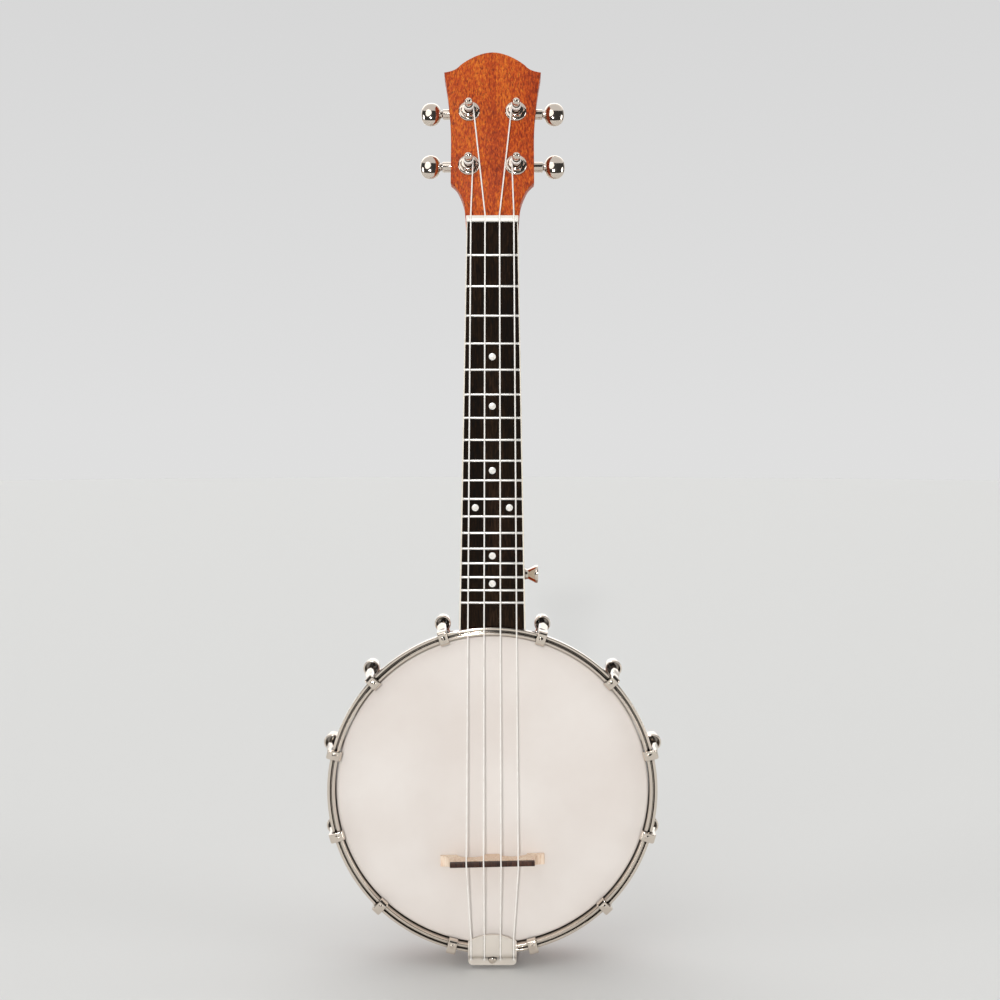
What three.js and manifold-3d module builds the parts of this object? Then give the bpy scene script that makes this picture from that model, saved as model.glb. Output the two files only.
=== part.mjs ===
// A banjo ukulele: a skin stretched over a wooden rim by a hoop and its hooks, and a fretted
// neck whose tuning machines turn their posts through a worm and wheel.
// Lengths are millimetres. +Z runs up the neck and -Y faces the listener.

import * as THREE from 'three';
import { mergeVertices } from 'three/addons/utils/BufferGeometryUtils.js';
import Module from 'manifold-3d';

const wasm = await Module();
wasm.setup();

// Clearances
const seatGap = 0.3;
const runGap = 0.3;
const overrun = 3;

// Rim: a laminated ring, open at the back
const rimOuterRadius = 101.6;
const rimWall = 9;
const rimDepth = 47.5;
const rimEdgeRound = 1.8;
const rimSides = 48;

// Skin and the flesh hoop bonded to its collar
const skinThickness = 0.3;
const collarDepth = 12.2;
const fleshWidth = 4;
const fleshHeight = 3.8;
const fleshEdge = 0.8;

// Tension hoop: an inner wall, a groove and an outer ridge
const hoopRise = 5;
const hoopHeight = 12.2;
const hoopInnerRidge = 1.9;
const hoopGroove = 1.2;
const hoopOuterRidge = 1.9;
const hoopGrooveDepth = 2;
const hoopEdge = 0.5;
const hoopRidgeDrop = 0.7;
const hoopRidgeDepth = 6;
const hoopTravelBack = 0.8;

// Hooks
const hookAnglesDegrees = [17.5, 47.1, 76.7, 106.3, 135.9, 165.5];
const rodRadius = 2;
const rodOffset = 3.3;
const rodTipLength = 3.5;
const rodSides = 8;
const clawWidth = 6;
const clawThickness = 1.7;
const clawLipThickness = 1.3;
const clawLipDepth = 2.6;
const clawBossRadius = 1.3;
const clawBossRise = 0.6;
const shankThickness = 2.6;
const shankStraight = 12;
const shankJog = 8;
const shankTip = 4;

// Shoes
const shoeFront = 26.5;
const shoeLength = 10.5;
const shoeRadius = 5.4;
const shoeWall = 1;
const shoeCupDepth = 6;
const shoeEdge = 0.6;
const shoeFootWidth = 7;
const shoeFootInset = 1.2;
const shoeBoltRadius = 2;
const shoeBoltHeadRadius = 4;
const shoeBoltHeadDepth = 2.2;
const shoeSides = 10;
const boltSides = 6;
const hexSides = 6;
const hookNutFlats = 7;
const hookNutDepth = 5;

// Coordinator rod and its end nut
const coordinatorDepth = 19.5;
const coordinatorRadius = 4;
const coordinatorEndRadius = 2.5;
const coordinatorHeelBite = 18;
const coordinatorSides = 10;
const endNutFlats = 9;
const endNutLength = 4;
const endWasherRadius = 6;
const endWasherThickness = 1.2;

// Neck and heel
const neckAngleDegrees = 3;
const boardEndGap = 0.6;
const boardEndRise = 3;
const scaleLength = 381;
const fretCount = 18;
const boardPastLastFret = 15;
const boardThickness = 5;
const boardNutWidth = 33.4;
const boardEndWidth = 43.1;
const boardEdge = 0.8;
const fretWidth = 1.8;
const fretHeight = 1;
const fretInset = 1.6;
const neckSideInset = 0.2;
const shaftDepthAtNut = 14;
const shaftDepthAtHeel = 17;
const heelDepth = 39;
const heelLength = 62;
const heelCurvePower = 2.6;
const shaftSectionPower = 2.3;
const heelSectionPower = 1.7;
const neckSectionSteps = 10;
const heelSteps = 8;
const shaftSteps = 3;

// String nut
const nutThickness = 4.2;
const nutWidth = 33.8;
const nutRise = 2.4;
const nutBackFall = 1;
const nutSlotWidth = 1.4;
const nutSlotDepth = 1.1;

// Headstock
const headAngleDegrees = 14;
const headThickness = 14;
const headEdge = 0.9;
const headThroatHalf = 18;
const headThroatLength = 7;
const headShoulderHalf = 27.4;
const headShoulderLength = 24.4;
const headWaistLength = 52;
const headHornHalf = 32.4;
const headHornLength = 105.3;
const headCrestLength = 120.4;
const headCurveSteps = 5;
const headBlend = 12;
const headBlendHalf = 19.4;
const headBlendDepth = 16;
const headBlendPower = 8;
const headBlendSteps = 4;

// Tuning machines
const postSpread = 15.5;
const lowerPostLength = 37;
const upperPostLength = 76.2;
const postRadius = 2.9;
const postWaistRadius = 2.1;
const postWaistLength = 5.1;
const postNeckLength = 1.2;
const postBallRadius = 2.7;
const postHoleRadius = 0.6;
const postTailRadius = 1.8;
const postSides = 10;
const postBallSteps = 4;
const washerRadius = 7.2;
const washerThickness = 1;
const washerSides = 16;
const bushingFlats = 10;
const bushingHexHeight = 2.4;
const bushingSleeveRadius = 4.3;
const bushingSleeveShare = 0.7;
const wheelTeeth = 15;
const gearCentreDistance = 8.6;
const wormPitchRadius = 2.6;
const toothRise = 0.5;
const toothFall = 0.8;
const toothWidth = 1;
const toothTipWidth = 0.55;
const wheelThickness = 4;
const wormTurns = 3;
const wormSides = 8;
const wormSpareTurns = 2;
const wormClipSides = 4;
const wormShaftRadius = 1.7;
const wormTailLength = 2;
const gearBoreSides = 10;
const caseDepth = 11;
const caseHalfWidth = 8.4;
const caseBelow = 8.6;
const caseWall = 1.3;
const caseCorner = 3;
const caseEdge = 0.8;
const caseCurveSteps = 2;
const caseEarLength = 5.4;
const caseEarHalf = 3.2;
const caseEarThickness = 2.6;
const caseScrewRadius = 2.2;
const caseScrewRise = 1.2;
const caseScrewShank = 1.1;
const caseScrewLength = 6;
const barrelRadius = 3.5;
const barrelReach = 33.8;
const barrelSides = 10;
const buttonNeckRadius = 2.6;
const buttonNeckLength = 0.8;
const buttonLength = 13.7;
const buttonHeight = 17;
const buttonThickness = 8;
const buttonPower = 0.8;
const buttonSides = 12;
const buttonRows = 6;

// Bridge
const bridgeFromCentre = 44.2;
const bridgeSkewDegrees = 1.3;
const bridgeHeight = 16.6;
const bridgeLength = 68;
const bridgeTopLength = 55.4;
const bridgeFootThickness = 7;
const bridgeTopThickness = 4;
const bridgeCapLength = 54.6;
const bridgeCapHeight = 3.2;
const bridgeFootRise = 2.2;
const bridgeArchRise = 6.4;
const bridgeOuterFoot = 11;
const bridgeMiddleFoot = 9;
const bridgeNotchWidth = 1.5;
const bridgeNotchDepth = 0.9;
const bridgeCurveSteps = 8;

// Tailpiece and its bolt
const tailWidth = 31.6;
const tailRise = 8.4;
const tailThickness = 1.4;
const tailPlateLength = 14.9;
const tailArch = 4.6;
const tailFoldLead = 2.6;
const tailStep = 4;
const tailStepRun = 1.2;
const tailFlangeReach = 4;
const tailCorner = 3;
const tailSlotLength = 1.2;
const tailCurveSteps = 6;
const tailBoltHeadRadius = 2.7;
const tailBoltHeadHeight = 2.6;

// Strap button on the heel
const strapAlong = 33.3;
const strapDeep = 10;
const strapRadius = 6;
const strapBaseRadius = 3.8;
const strapWaistRadius = 3.2;
const strapLength = 8.8;
const strapRimThickness = 1.6;
const strapEdge = 0.6;
const strapPinRadius = 1.6;
const strapPinLength = 9;
const strapSides = 14;

// Where a wall hanger's yoke takes the headstock
const yokeLength = 14;

// Strings
const stringRadius = 0.4;
const stringOuterAtNut = 13.9;
const stringInnerAtNut = 4.7;
const stringOuterAtBridge = 16.7;
const stringInnerAtBridge = 5.6;
const stringOuterAtTail = 13.9;
const stringInnerAtTail = 5.2;
const stringSides = 5;
const knotRadius = 1.1;
const knotSides = 6;
const windingTurns = 2.5;
const windingPitch = 1.3;
const windingSteps = 10;

// Sizes that follow from the ones above
const flatShare = Math.cos(Math.PI / rimSides);
const rimInnerRadius = rimOuterRadius - rimWall;
const rimFront = skinThickness + seatGap;
const rimBack = rimFront + rimDepth;
const skinInnerRadius = rimOuterRadius + seatGap;
const skinOuterRadius = skinInnerRadius + skinThickness;
const skinRound = rimEdgeRound + seatGap + skinThickness;
const hoopInnerRadius = skinOuterRadius + seatGap;
const hoopOuterRadius = hoopInnerRadius + hoopInnerRidge + hoopGroove + hoopOuterRidge;
const hoopFront = -hoopRise;
const hoopBack = hoopFront + hoopHeight;
const fleshInnerRadius = skinOuterRadius + seatGap;
const fleshFront = hoopBack + seatGap;
const fleshBack = fleshFront + fleshHeight;
const rodFromAxis = hoopOuterRadius + rodOffset;
const rodHoleRadius = (rodRadius + runGap) / Math.cos(Math.PI / rodSides);
const shoeBack = shoeFront + shoeLength;
const shoeSeatRadius = rimOuterRadius + seatGap;
const shoeMiddle = shoeFront + shoeLength / 2;
const hookNutBack = shoeBack + hookNutDepth;
const rodBack = hookNutBack + rodTipLength;
const clawBack = hoopFront - seatGap;
const clawFront = clawBack - clawThickness;
const tailFoldLength = rodFromAxis - tailFoldLead;
const tailFrontLength = tailFoldLength - tailPlateLength;
const tailFlangeEnd = rodFromAxis + tailFlangeReach;
const boltHoleRadius = (shoeBoltRadius + seatGap) / Math.cos(Math.PI / boltSides);

const boardEnd = hoopOuterRadius + boardEndGap;
const boardLength = scaleLength * (1 - 2 ** (-fretCount / 12)) + boardPastLastFret;
const neckTop = boardThickness + seatGap;
const nutFront = boardLength + seatGap;
const nutBack = nutFront + nutThickness;
const headStart = nutBack + seatGap;
const headAngle = THREE.MathUtils.degToRad(headAngleDegrees);
const neckAngle = THREE.MathUtils.degToRad(neckAngleDegrees);

const bushingFront = -(seatGap + washerThickness + bushingHexHeight);
const bushingBoreRadius = (postRadius + runGap) / Math.cos(Math.PI / postSides);
const woodHoleRadius = (bushingSleeveRadius + seatGap) / Math.cos(Math.PI / postSides);
const bushingBack = headThickness * bushingSleeveShare;
const caseFront = headThickness + seatGap;
const caseBack = caseFront + caseDepth;
const gearDepth = (caseFront + caseBack) / 2;
const wheelPitchRadius = gearCentreDistance - wormPitchRadius;
const wheelTipRadius = wheelPitchRadius + toothRise;
const wheelRootRadius = wheelPitchRadius - toothFall;
const wormTipRadius = wormPitchRadius + toothRise;
const wormRootRadius = wormPitchRadius - toothFall;
const wormPitch = 2 * Math.PI * wheelPitchRadius / wheelTeeth;
const wormLength = wormTurns * wormPitch;
const boreShare = Math.cos(Math.PI / gearBoreSides);
const wormBoreRadius = (wormTipRadius + runGap) / boreShare;
const wheelBoreRadius = (wheelTipRadius + runGap) / boreShare;
const caseAbove = gearCentreDistance + wormBoreRadius + caseWall;
const wormShaftBore = (wormShaftRadius + runGap) / Math.cos(Math.PI / wormSides);
const postBottom = caseBack - caseWall - runGap;
const waistFront = bushingFront - runGap - postNeckLength;
const ballSink = Math.sqrt(postBallRadius ** 2 - postWaistRadius ** 2);
const ballCentre = waistFront - postWaistLength - ballSink;
const windingRadius = postWaistRadius + seatGap + stringRadius;
const windingStart = waistFront - seatGap - stringRadius;

const bridgeFeet = -seatGap;
const bridgeTop = bridgeFeet - bridgeHeight;
const stringAtBridge = bridgeTop + bridgeNotchDepth - seatGap - stringRadius;
const tailFront = -tailRise;
const stringAtTail = tailFront - seatGap - stringRadius;
const stringAtNut = -nutRise + nutSlotDepth - seatGap - stringRadius;

// Materials
function finish(color, roughness, metalness) {
  return new THREE.MeshStandardMaterial({ color, roughness, metalness });
}
const mahogany = finish(0x8f4322, 0.45, 0);
const blackwood = finish(0x241a16, 0.5, 0);
const maple = finish(0xe2c9a8, 0.5, 0);
const bone = finish(0xf2ece0, 0.4, 0);
const film = finish(0xe9e4de, 0.6, 0);
const nylon = finish(0xe8e2dc, 0.3, 0);
const chrome = finish(0xd0d0d2, 0.15, 1);
const nickel = finish(0xc4c1bb, 0.4, 1);
const steel = finish(0xa5a5a7, 0.35, 1);

// Turns a closed geometry, or a list of triangles with shared corners, into a solid
function solid(geometry) {
  const bare = geometry.clone();
  bare.deleteAttribute('normal');
  bare.deleteAttribute('uv');
  const merged = mergeVertices(bare);
  const places = merged.attributes.position.array;
  const corner = (index) => new THREE.Vector3().fromArray(places, 3 * index);
  const faces = [];
  let volume = 0;
  for (let i = 0; i < merged.index.count; i += 3) {
    const [a, b, c] = merged.index.array.slice(i, i + 3);
    if (a !== b && b !== c && c !== a) {
      faces.push([a, b, c]);
      volume += corner(a).dot(corner(b).cross(corner(c)));
    }
  }
  const outward = volume < 0 ? faces.map(([a, b, c]) => [a, c, b]) : faces;
  return new wasm.Manifold(new wasm.Mesh({
    numProp: 3,
    vertProperties: new Float32Array(places),
    triVerts: new Uint32Array(outward.flat()),
  }));
}

const asSolid = (form) => (form.isBufferGeometry ? solid(form) : form);
const join = (...forms) => forms.map(asSolid).reduce((whole, form) => whole.add(form));
const cut = (body, ...tools) => tools.map(asSolid).reduce((rest, tool) => rest.subtract(tool), asSolid(body));
const common = (first, second) => asSolid(first).intersect(asSolid(second));

// Makes the named mesh of one piece
function piece(name, form, material) {
  const mesh = asSolid(form).getMesh();
  const geometry = new THREE.BufferGeometry();
  geometry.setAttribute('position', new THREE.BufferAttribute(new Float32Array(mesh.vertProperties), 3));
  geometry.setIndex(new THREE.BufferAttribute(new Uint32Array(mesh.triVerts), 1));
  geometry.computeVertexNormals();
  const result = new THREE.Mesh(geometry, material);
  result.name = name;
  return result;
}

// Turned forms: a profile of [radius, place along Y]
function revolve(profile, sides) {
  const points = profile.map(([radius, along]) => new THREE.Vector2(radius, along));
  return new THREE.LatheGeometry(points, sides);
}
const ring = (profile, sides) => revolve([...profile, profile[0]], sides);

// Round bars along each axis, between two ends
function barY(radius, front, back, x, z, sides) {
  const bar = new THREE.CylinderGeometry(radius, radius, back - front, sides);
  return bar.translate(x, (front + back) / 2, z);
}
function barX(radius, from, to, y, z, sides) {
  const bar = new THREE.CylinderGeometry(radius, radius, Math.abs(to - from), sides);
  return bar.rotateZ(Math.PI / 2).translate((from + to) / 2, y, z);
}
function barZ(radius, from, to, x, y, sides) {
  const bar = new THREE.CylinderGeometry(radius, radius, to - from, sides);
  return bar.rotateX(Math.PI / 2).translate(x, y, (from + to) / 2);
}
const hexRadius = (flats) => flats / Math.sqrt(3);

// A box between two corners
function block(low, high) {
  const size = high.map((value, axis) => value - low[axis]);
  const middle = high.map((value, axis) => (value + low[axis]) / 2);
  return new THREE.BoxGeometry(...size).translate(...middle);
}

// A face outline in X and Z, made into a slab from front to back along Y
function slab(shape, front, thickness, edge, curveSegments) {
  const bevel = edge > 0;
  const options = {
    depth: thickness - 2 * edge, curveSegments, bevelEnabled: bevel,
    bevelThickness: edge, bevelSize: edge, bevelOffset: -edge, bevelSegments: 1,
  };
  const form = new THREE.ExtrudeGeometry(shape, options);
  return form.rotateX(Math.PI / 2).translate(0, front + thickness - edge, 0);
}

// A side outline of [z, y] points, made into a bar along X and centred on it
function sideBar(points, width) {
  const shape = new THREE.Shape(points.map(([z, y]) => new THREE.Vector2(z, y)));
  const form = new THREE.ExtrudeGeometry(shape, { depth: width, bevelEnabled: false });
  return form.translate(0, 0, -width / 2).rotateY(-Math.PI / 2);
}

// A closed surface over a row of closed rings, with a fan round the middle of each end ring
function loft(rings) {
  const count = rings[0].length;
  const middle = (points) => [0, 1, 2].map((axis) => (
    points.reduce((sum, point) => sum + point[axis], 0) / count));
  const places = [...rings.flat(), middle(rings[0]), middle(rings[rings.length - 1])];
  const firstMiddle = rings.length * count;
  const lastMiddle = firstMiddle + 1;
  const corners = [];
  for (let i = 0; i < count; i += 1) {
    const next = (i + 1) % count;
    for (let row = 0; row + 1 < rings.length; row += 1) {
      const here = row * count + i;
      const beside = row * count + next;
      corners.push(here, beside, beside + count, here, beside + count, here + count);
    }
    const last = (rings.length - 1) * count;
    corners.push(firstMiddle, next, i);
    corners.push(lastMiddle, last + i, last + next);
  }
  const geometry = new THREE.BufferGeometry();
  geometry.setAttribute('position', new THREE.Float32BufferAttribute(places.flat(), 3));
  geometry.setIndex(corners);
  return geometry;
}

// A route through listed places, one step a place
class ListedRoute extends THREE.Curve {
  constructor(places) {
    super();
    this.places = places;
  }

  getPoint(share) {
    const steps = this.places.length - 1;
    const step = Math.min(Math.floor(share * steps), steps - 1);
    return this.places[step].clone().lerp(this.places[step + 1], share * steps - step);
  }

  getTangent(share) {
    const last = this.places.length - 1;
    const nearest = Math.round(share * last);
    const here = this.places[nearest];
    const before = nearest > 0 ? here.clone().sub(this.places[nearest - 1]) : new THREE.Vector3();
    const after = nearest < last ? this.places[nearest + 1].clone().sub(here) : new THREE.Vector3();
    return before.normalize().add(after.normalize()).normalize();
  }

  getUtoTmapping(share) {
    return share;
  }
}

// Nested frames: the pot's, the neck's and the headstock's
const banjoUkulele = new THREE.Group();
const pot = new THREE.Group();
const neckFrame = new THREE.Group();
neckFrame.position.set(0, -boardEndRise, boardEnd);
neckFrame.rotation.x = -neckAngle;
const headFrame = new THREE.Group();
headFrame.position.set(0, neckTop, headStart);
headFrame.rotation.x = -headAngle;
neckFrame.add(headFrame);
pot.add(neckFrame);
banjoUkulele.add(pot);
pot.updateMatrixWorld(true);
const neckToPot = neckFrame.matrixWorld.clone();
const headToPot = headFrame.matrixWorld.clone();
const potToNeck = neckToPot.clone().invert();
const headToNeck = headFrame.matrix.clone();

// The wooden ring, drilled for the shoes' bolts and the coordinator's two ends
function buildRim(shoeAngles) {
  const round = rimEdgeRound;
  const profile = [
    [rimInnerRadius, rimBack - round / 2],
    [rimInnerRadius + round / 2, rimBack],
    [rimOuterRadius - round / 2, rimBack],
    [rimOuterRadius, rimBack - round / 2],
    [rimOuterRadius, rimFront + round],
    [rimOuterRadius - round, rimFront],
    [rimInnerRadius + rimWall / 2, rimFront],
    [rimInnerRadius, rimFront + rimWall / 2],
  ];
  const inside = rimInnerRadius - overrun;
  const outside = rimOuterRadius + overrun;
  const drills = shoeAngles.map((angle) => {
    const drill = barZ(boltHoleRadius, inside, outside, 0, shoeMiddle, boltSides);
    return drill.rotateY(angle);
  });
  const endHole = coordinatorEndRadius + seatGap;
  drills.push(barZ(endHole, inside, outside, 0, coordinatorDepth, coordinatorSides));
  drills.push(barZ(endHole, -outside, -inside, 0, coordinatorDepth, coordinatorSides));
  return piece('rim', cut(ring(profile, rimSides), ...drills), mahogany);
}

// The film: a flat disc, rounded over the rim's edge and carried down its outside
function buildSkin() {
  const inner = skinRound - skinThickness;
  const profile = [
    [0, 0],
    [skinOuterRadius - skinRound, 0],
    [skinOuterRadius, skinRound],
    [skinOuterRadius, collarDepth],
    [skinInnerRadius, collarDepth],
    [skinInnerRadius, skinThickness + inner],
    [skinInnerRadius - inner, skinThickness],
    [0, skinThickness],
  ];
  return piece('head_skin', revolve(profile, rimSides), film);
}

function buildFleshHoop() {
  const outer = fleshInnerRadius + fleshWidth;
  const profile = [
    [fleshInnerRadius, fleshFront],
    [outer, fleshFront],
    [outer, fleshBack - fleshEdge],
    [outer - fleshEdge, fleshBack],
    [fleshInnerRadius, fleshBack],
  ];
  return piece('flesh_hoop', ring(profile, rimSides), steel);
}

function buildTensionHoop() {
  const innerTop = hoopInnerRadius + hoopInnerRidge;
  const outerTop = innerTop + hoopGroove;
  const ridgeFront = hoopFront + hoopRidgeDrop;
  const ridgeBack = ridgeFront + hoopRidgeDepth;
  const footRadius = (outerTop + hoopOuterRadius) / 2;
  const profile = [
    [hoopInnerRadius, hoopBack],
    [hoopInnerRadius, hoopFront + hoopEdge],
    [hoopInnerRadius + hoopEdge, hoopFront],
    [innerTop, hoopFront],
    [innerTop, hoopFront + hoopGrooveDepth],
    [outerTop, hoopFront + hoopGrooveDepth],
    [outerTop, ridgeFront],
    [hoopOuterRadius - hoopEdge, ridgeFront],
    [hoopOuterRadius, ridgeFront + hoopEdge],
    [hoopOuterRadius, ridgeBack - hoopEdge],
    [footRadius, ridgeBack + hoopEdge],
    [footRadius, hoopBack],
  ];
  return piece('tension_hoop', ring(profile, rimSides), chrome);
}

// One hook, with +Z outwards from the pot's axis: a claw over the hoop, a flat shank that
// jogs outwards past the hoop, and a round rod
function buildHook(name, angle) {
  const shankInner = hoopOuterRadius + seatGap;
  const shankOuter = shankInner + shankThickness;
  const lipOuter = Math.sqrt((hoopInnerRadius * flatShare) ** 2 - (clawWidth / 2) ** 2) - seatGap;
  const lipInner = lipOuter - clawLipThickness;
  const jogFront = clawFront + shankStraight;
  const jogBack = jogFront + shankJog;
  const tipBack = jogBack + shankTip;
  const half = shankThickness / 2;
  const outline = [
    [lipInner, clawFront + clawThickness / 2],
    [lipInner + clawThickness / 2, clawFront],
    [shankOuter - clawThickness, clawFront],
    [shankOuter, clawFront + clawThickness],
    [shankOuter, jogFront],
    [rodFromAxis + half, jogBack],
    [rodFromAxis + half, tipBack],
    [rodFromAxis - half, tipBack],
    [rodFromAxis - half, jogBack],
    [shankInner, jogFront],
    [shankInner, clawBack],
    [lipOuter, clawBack],
    [lipOuter, clawBack + clawLipDepth],
    [lipInner, clawBack + clawLipDepth],
  ];
  const bossLength = clawBossRise + clawThickness / 2;
  const boss = new THREE.CylinderGeometry(clawBossRadius, clawBossRadius / 2, bossLength, boltSides);
  boss.translate(0, clawFront - clawBossRise + bossLength / 2, hoopInnerRadius + hoopInnerRidge);
  const rod = barY(rodRadius, jogBack, rodBack, 0, rodFromAxis, rodSides);
  const form = join(sideBar(outline, clawWidth), boss, rod);
  const result = piece(name, form, chrome);
  result.rotation.y = angle;
  return result;
}

// One shoe: a cup that the rod enters, a foot on the rim, its bolt, and the hook's nut
function buildShoe(name, angle) {
  const cupRadius = shoeRadius - shoeWall;
  const barrelProfile = [
    [0, shoeFront],
    [shoeRadius, shoeFront],
    [shoeRadius, shoeBack - shoeEdge],
    [shoeRadius - shoeEdge, shoeBack],
    [0, shoeBack],
  ];
  const barrel = revolve(barrelProfile, shoeSides).translate(0, 0, rodFromAxis);
  const halfFoot = shoeFootWidth / 2;
  const footFront = shoeFront + shoeFootInset;
  const footBack = shoeBack - shoeFootInset;
  const footOuter = rodFromAxis - shoeRadius / 2;
  const foot = cut(
    block([-halfFoot, footFront, shoeSeatRadius - overrun], [halfFoot, footBack, footOuter]),
    barY(shoeSeatRadius, footFront - overrun, footBack + overrun, 0, 0, rimSides).rotateY(-angle),
  );
  const headBase = Math.sqrt((rimInnerRadius * flatShare) ** 2 - shoeBoltHeadRadius ** 2) - seatGap;
  const headTop = headBase - shoeBoltHeadDepth;
  const bolt = barZ(shoeBoltRadius, headTop, footOuter, 0, shoeMiddle, boltSides);
  const head = barZ(shoeBoltHeadRadius, headTop, headBase, 0, shoeMiddle, boltSides);
  const nut = barY(hexRadius(hookNutFlats), shoeMiddle, hookNutBack, 0, rodFromAxis, hexSides);
  const cup = barY(cupRadius, shoeFront - overrun, shoeFront + shoeCupDepth, 0, rodFromAxis, shoeSides);
  const hole = barY(rodHoleRadius, shoeFront, hookNutBack + overrun, 0, rodFromAxis, rodSides);
  const result = piece(name, cut(join(barrel, foot, bolt, head, nut), cup, hole), chrome);
  result.rotation.y = angle;
  return result;
}

// The rod that draws the heel to the rim, with its thinner ends through the rim
function buildCoordinatorRod() {
  const innerReach = rimInnerRadius * flatShare - seatGap;
  const tailReach = shoeSeatRadius + endWasherThickness + endNutLength + seatGap;
  const heelReach = rimOuterRadius + coordinatorHeelBite;
  const body = barZ(coordinatorRadius, -innerReach, innerReach, 0, coordinatorDepth, coordinatorSides);
  const ends = barZ(coordinatorEndRadius, -tailReach, heelReach, 0, coordinatorDepth, coordinatorSides);
  return piece('coordinator_rod', join(body, ends), steel);
}

function buildCoordinatorNut() {
  const washerOuter = shoeSeatRadius + endWasherThickness;
  const nutOuter = washerOuter + endNutLength;
  const washer = barZ(endWasherRadius, -washerOuter, -shoeSeatRadius, 0, coordinatorDepth, coordinatorSides);
  const nut = barZ(hexRadius(endNutFlats), -nutOuter, -shoeSeatRadius, 0, coordinatorDepth, hexSides);
  const bore = coordinatorEndRadius + runGap;
  const boreStart = -nutOuter - overrun;
  const boreEnd = overrun - shoeSeatRadius;
  const hole = barZ(bore, boreStart, boreEnd, 0, coordinatorDepth, coordinatorSides);
  return piece('coordinator_nut', cut(join(washer, nut), hole), steel);
}

// The bent plate that holds the strings' ends, with +Z outwards from the pot's axis
function buildTailpiece() {
  const half = tailWidth / 2;
  const archRadius = (half ** 2 + tailArch ** 2) / (2 * tailArch);
  const archTurn = Math.asin(half / archRadius);
  const archStart = -Math.PI / 2 - archTurn;
  const archCentre = tailFrontLength + archRadius;
  const outline = new THREE.Shape();
  outline.absarc(0, archCentre, archRadius, archStart, archStart + 2 * archTurn);
  outline.lineTo(half, tailFlangeEnd - tailCorner);
  outline.absarc(half - tailCorner, tailFlangeEnd - tailCorner, tailCorner, 0, Math.PI / 2);
  outline.lineTo(tailCorner - half, tailFlangeEnd);
  outline.absarc(tailCorner - half, tailFlangeEnd - tailCorner, tailCorner, Math.PI / 2, Math.PI);
  const stepEnd = tailFoldLength + tailStepRun;
  const bend = tailThickness / 2;
  const profile = [
    [tailFrontLength - overrun, tailFront],
    [tailFoldLength - bend, tailFront],
    [tailFoldLength, tailFront + bend],
    [stepEnd, tailFront + tailStep],
    [tailFlangeEnd + overrun, tailFront + tailStep],
    [tailFlangeEnd + overrun, tailFront + tailStep + tailThickness],
    [stepEnd - tailThickness, tailFront + tailStep + tailThickness],
    [tailFoldLength - tailThickness, tailFront + tailThickness],
    [tailFrontLength - overrun, tailFront + tailThickness],
  ];
  const tall = slab(outline, tailFront - overrun, tailRise + overrun, 0, tailCurveSteps);
  const hole = barY(rodHoleRadius, tailFront - overrun, overrun, 0, rodFromAxis, rodSides);
  const reliefRadius = tailBoltHeadRadius + seatGap;
  const reliefBack = tailFront + tailStep;
  const relief = barY(reliefRadius, tailFront - overrun, reliefBack, 0, rodFromAxis, shoeSides);
  const slotHalf = stringRadius + seatGap;
  const slots = [-stringOuterAtTail, -stringInnerAtTail, stringInnerAtTail, stringOuterAtTail].map((x) => (
    block(
      [x - slotHalf, tailFront - overrun, tailFoldLength - tailSlotLength],
      [x + slotHalf, tailFront + tailStep - tailThickness, stepEnd + overrun],
    )));
  const plate = common(sideBar(profile, 2 * tailWidth), tall);
  const result = piece('tailpiece', cut(plate, hole, relief, ...slots), nickel);
  result.rotation.y = Math.PI;
  return result;
}

// The tailpiece's bolt: a domed head on the flange, and its shank down into the tail shoe
function buildTailBolt() {
  const headBase = tailFront + tailStep - seatGap;
  const headTop = headBase - tailBoltHeadHeight;
  const profile = [
    [0, headTop],
    [tailBoltHeadRadius / 2, headTop],
    [tailBoltHeadRadius, headTop + tailBoltHeadHeight / 2],
    [tailBoltHeadRadius, headBase],
    [rodRadius, headBase],
    [rodRadius, rodBack],
    [0, rodBack],
  ];
  return piece('tail_bolt', revolve(profile, shoeSides).translate(0, 0, -rodFromAxis), chrome);
}

const hoopAngles = [...hookAnglesDegrees, ...hookAnglesDegrees.map((angle) => -angle).reverse()]
  .map((angle) => THREE.MathUtils.degToRad(angle));
const tailAngle = Math.PI;
pot.add(buildRim([...hoopAngles, tailAngle]));
pot.add(buildSkin());
pot.add(buildFleshHoop());
pot.add(buildTensionHoop());
hoopAngles.forEach((angle, index) => {
  const number = String(index + 1).padStart(2, '0');
  pot.add(buildHook(`hook_${number}`, angle));
  pot.add(buildShoe(`shoe_${number}`, angle));
});
pot.add(buildShoe('tail_shoe', tailAngle));
pot.add(buildCoordinatorRod());
pot.add(buildCoordinatorNut());
pot.add(buildTailpiece());
pot.add(buildTailBolt());

// Half the fretboard's width at a place along it
const boardHalf = (along) => THREE.MathUtils.lerp(boardEndWidth, boardNutWidth, along / nutFront) / 2;

// A D-shaped section of the neck, flat at the fretboard's side
function neckSection(along, half, depth, power) {
  const points = [];
  for (let i = 0; i <= neckSectionSteps; i += 1) {
    const turn = Math.PI * i / neckSectionSteps;
    const x = half * Math.sign(Math.cos(turn)) * Math.abs(Math.cos(turn)) ** (2 / power);
    const y = neckTop + depth * Math.abs(Math.sin(turn)) ** (2 / power);
    points.push([x, y, along]);
  }
  return points;
}

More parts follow.
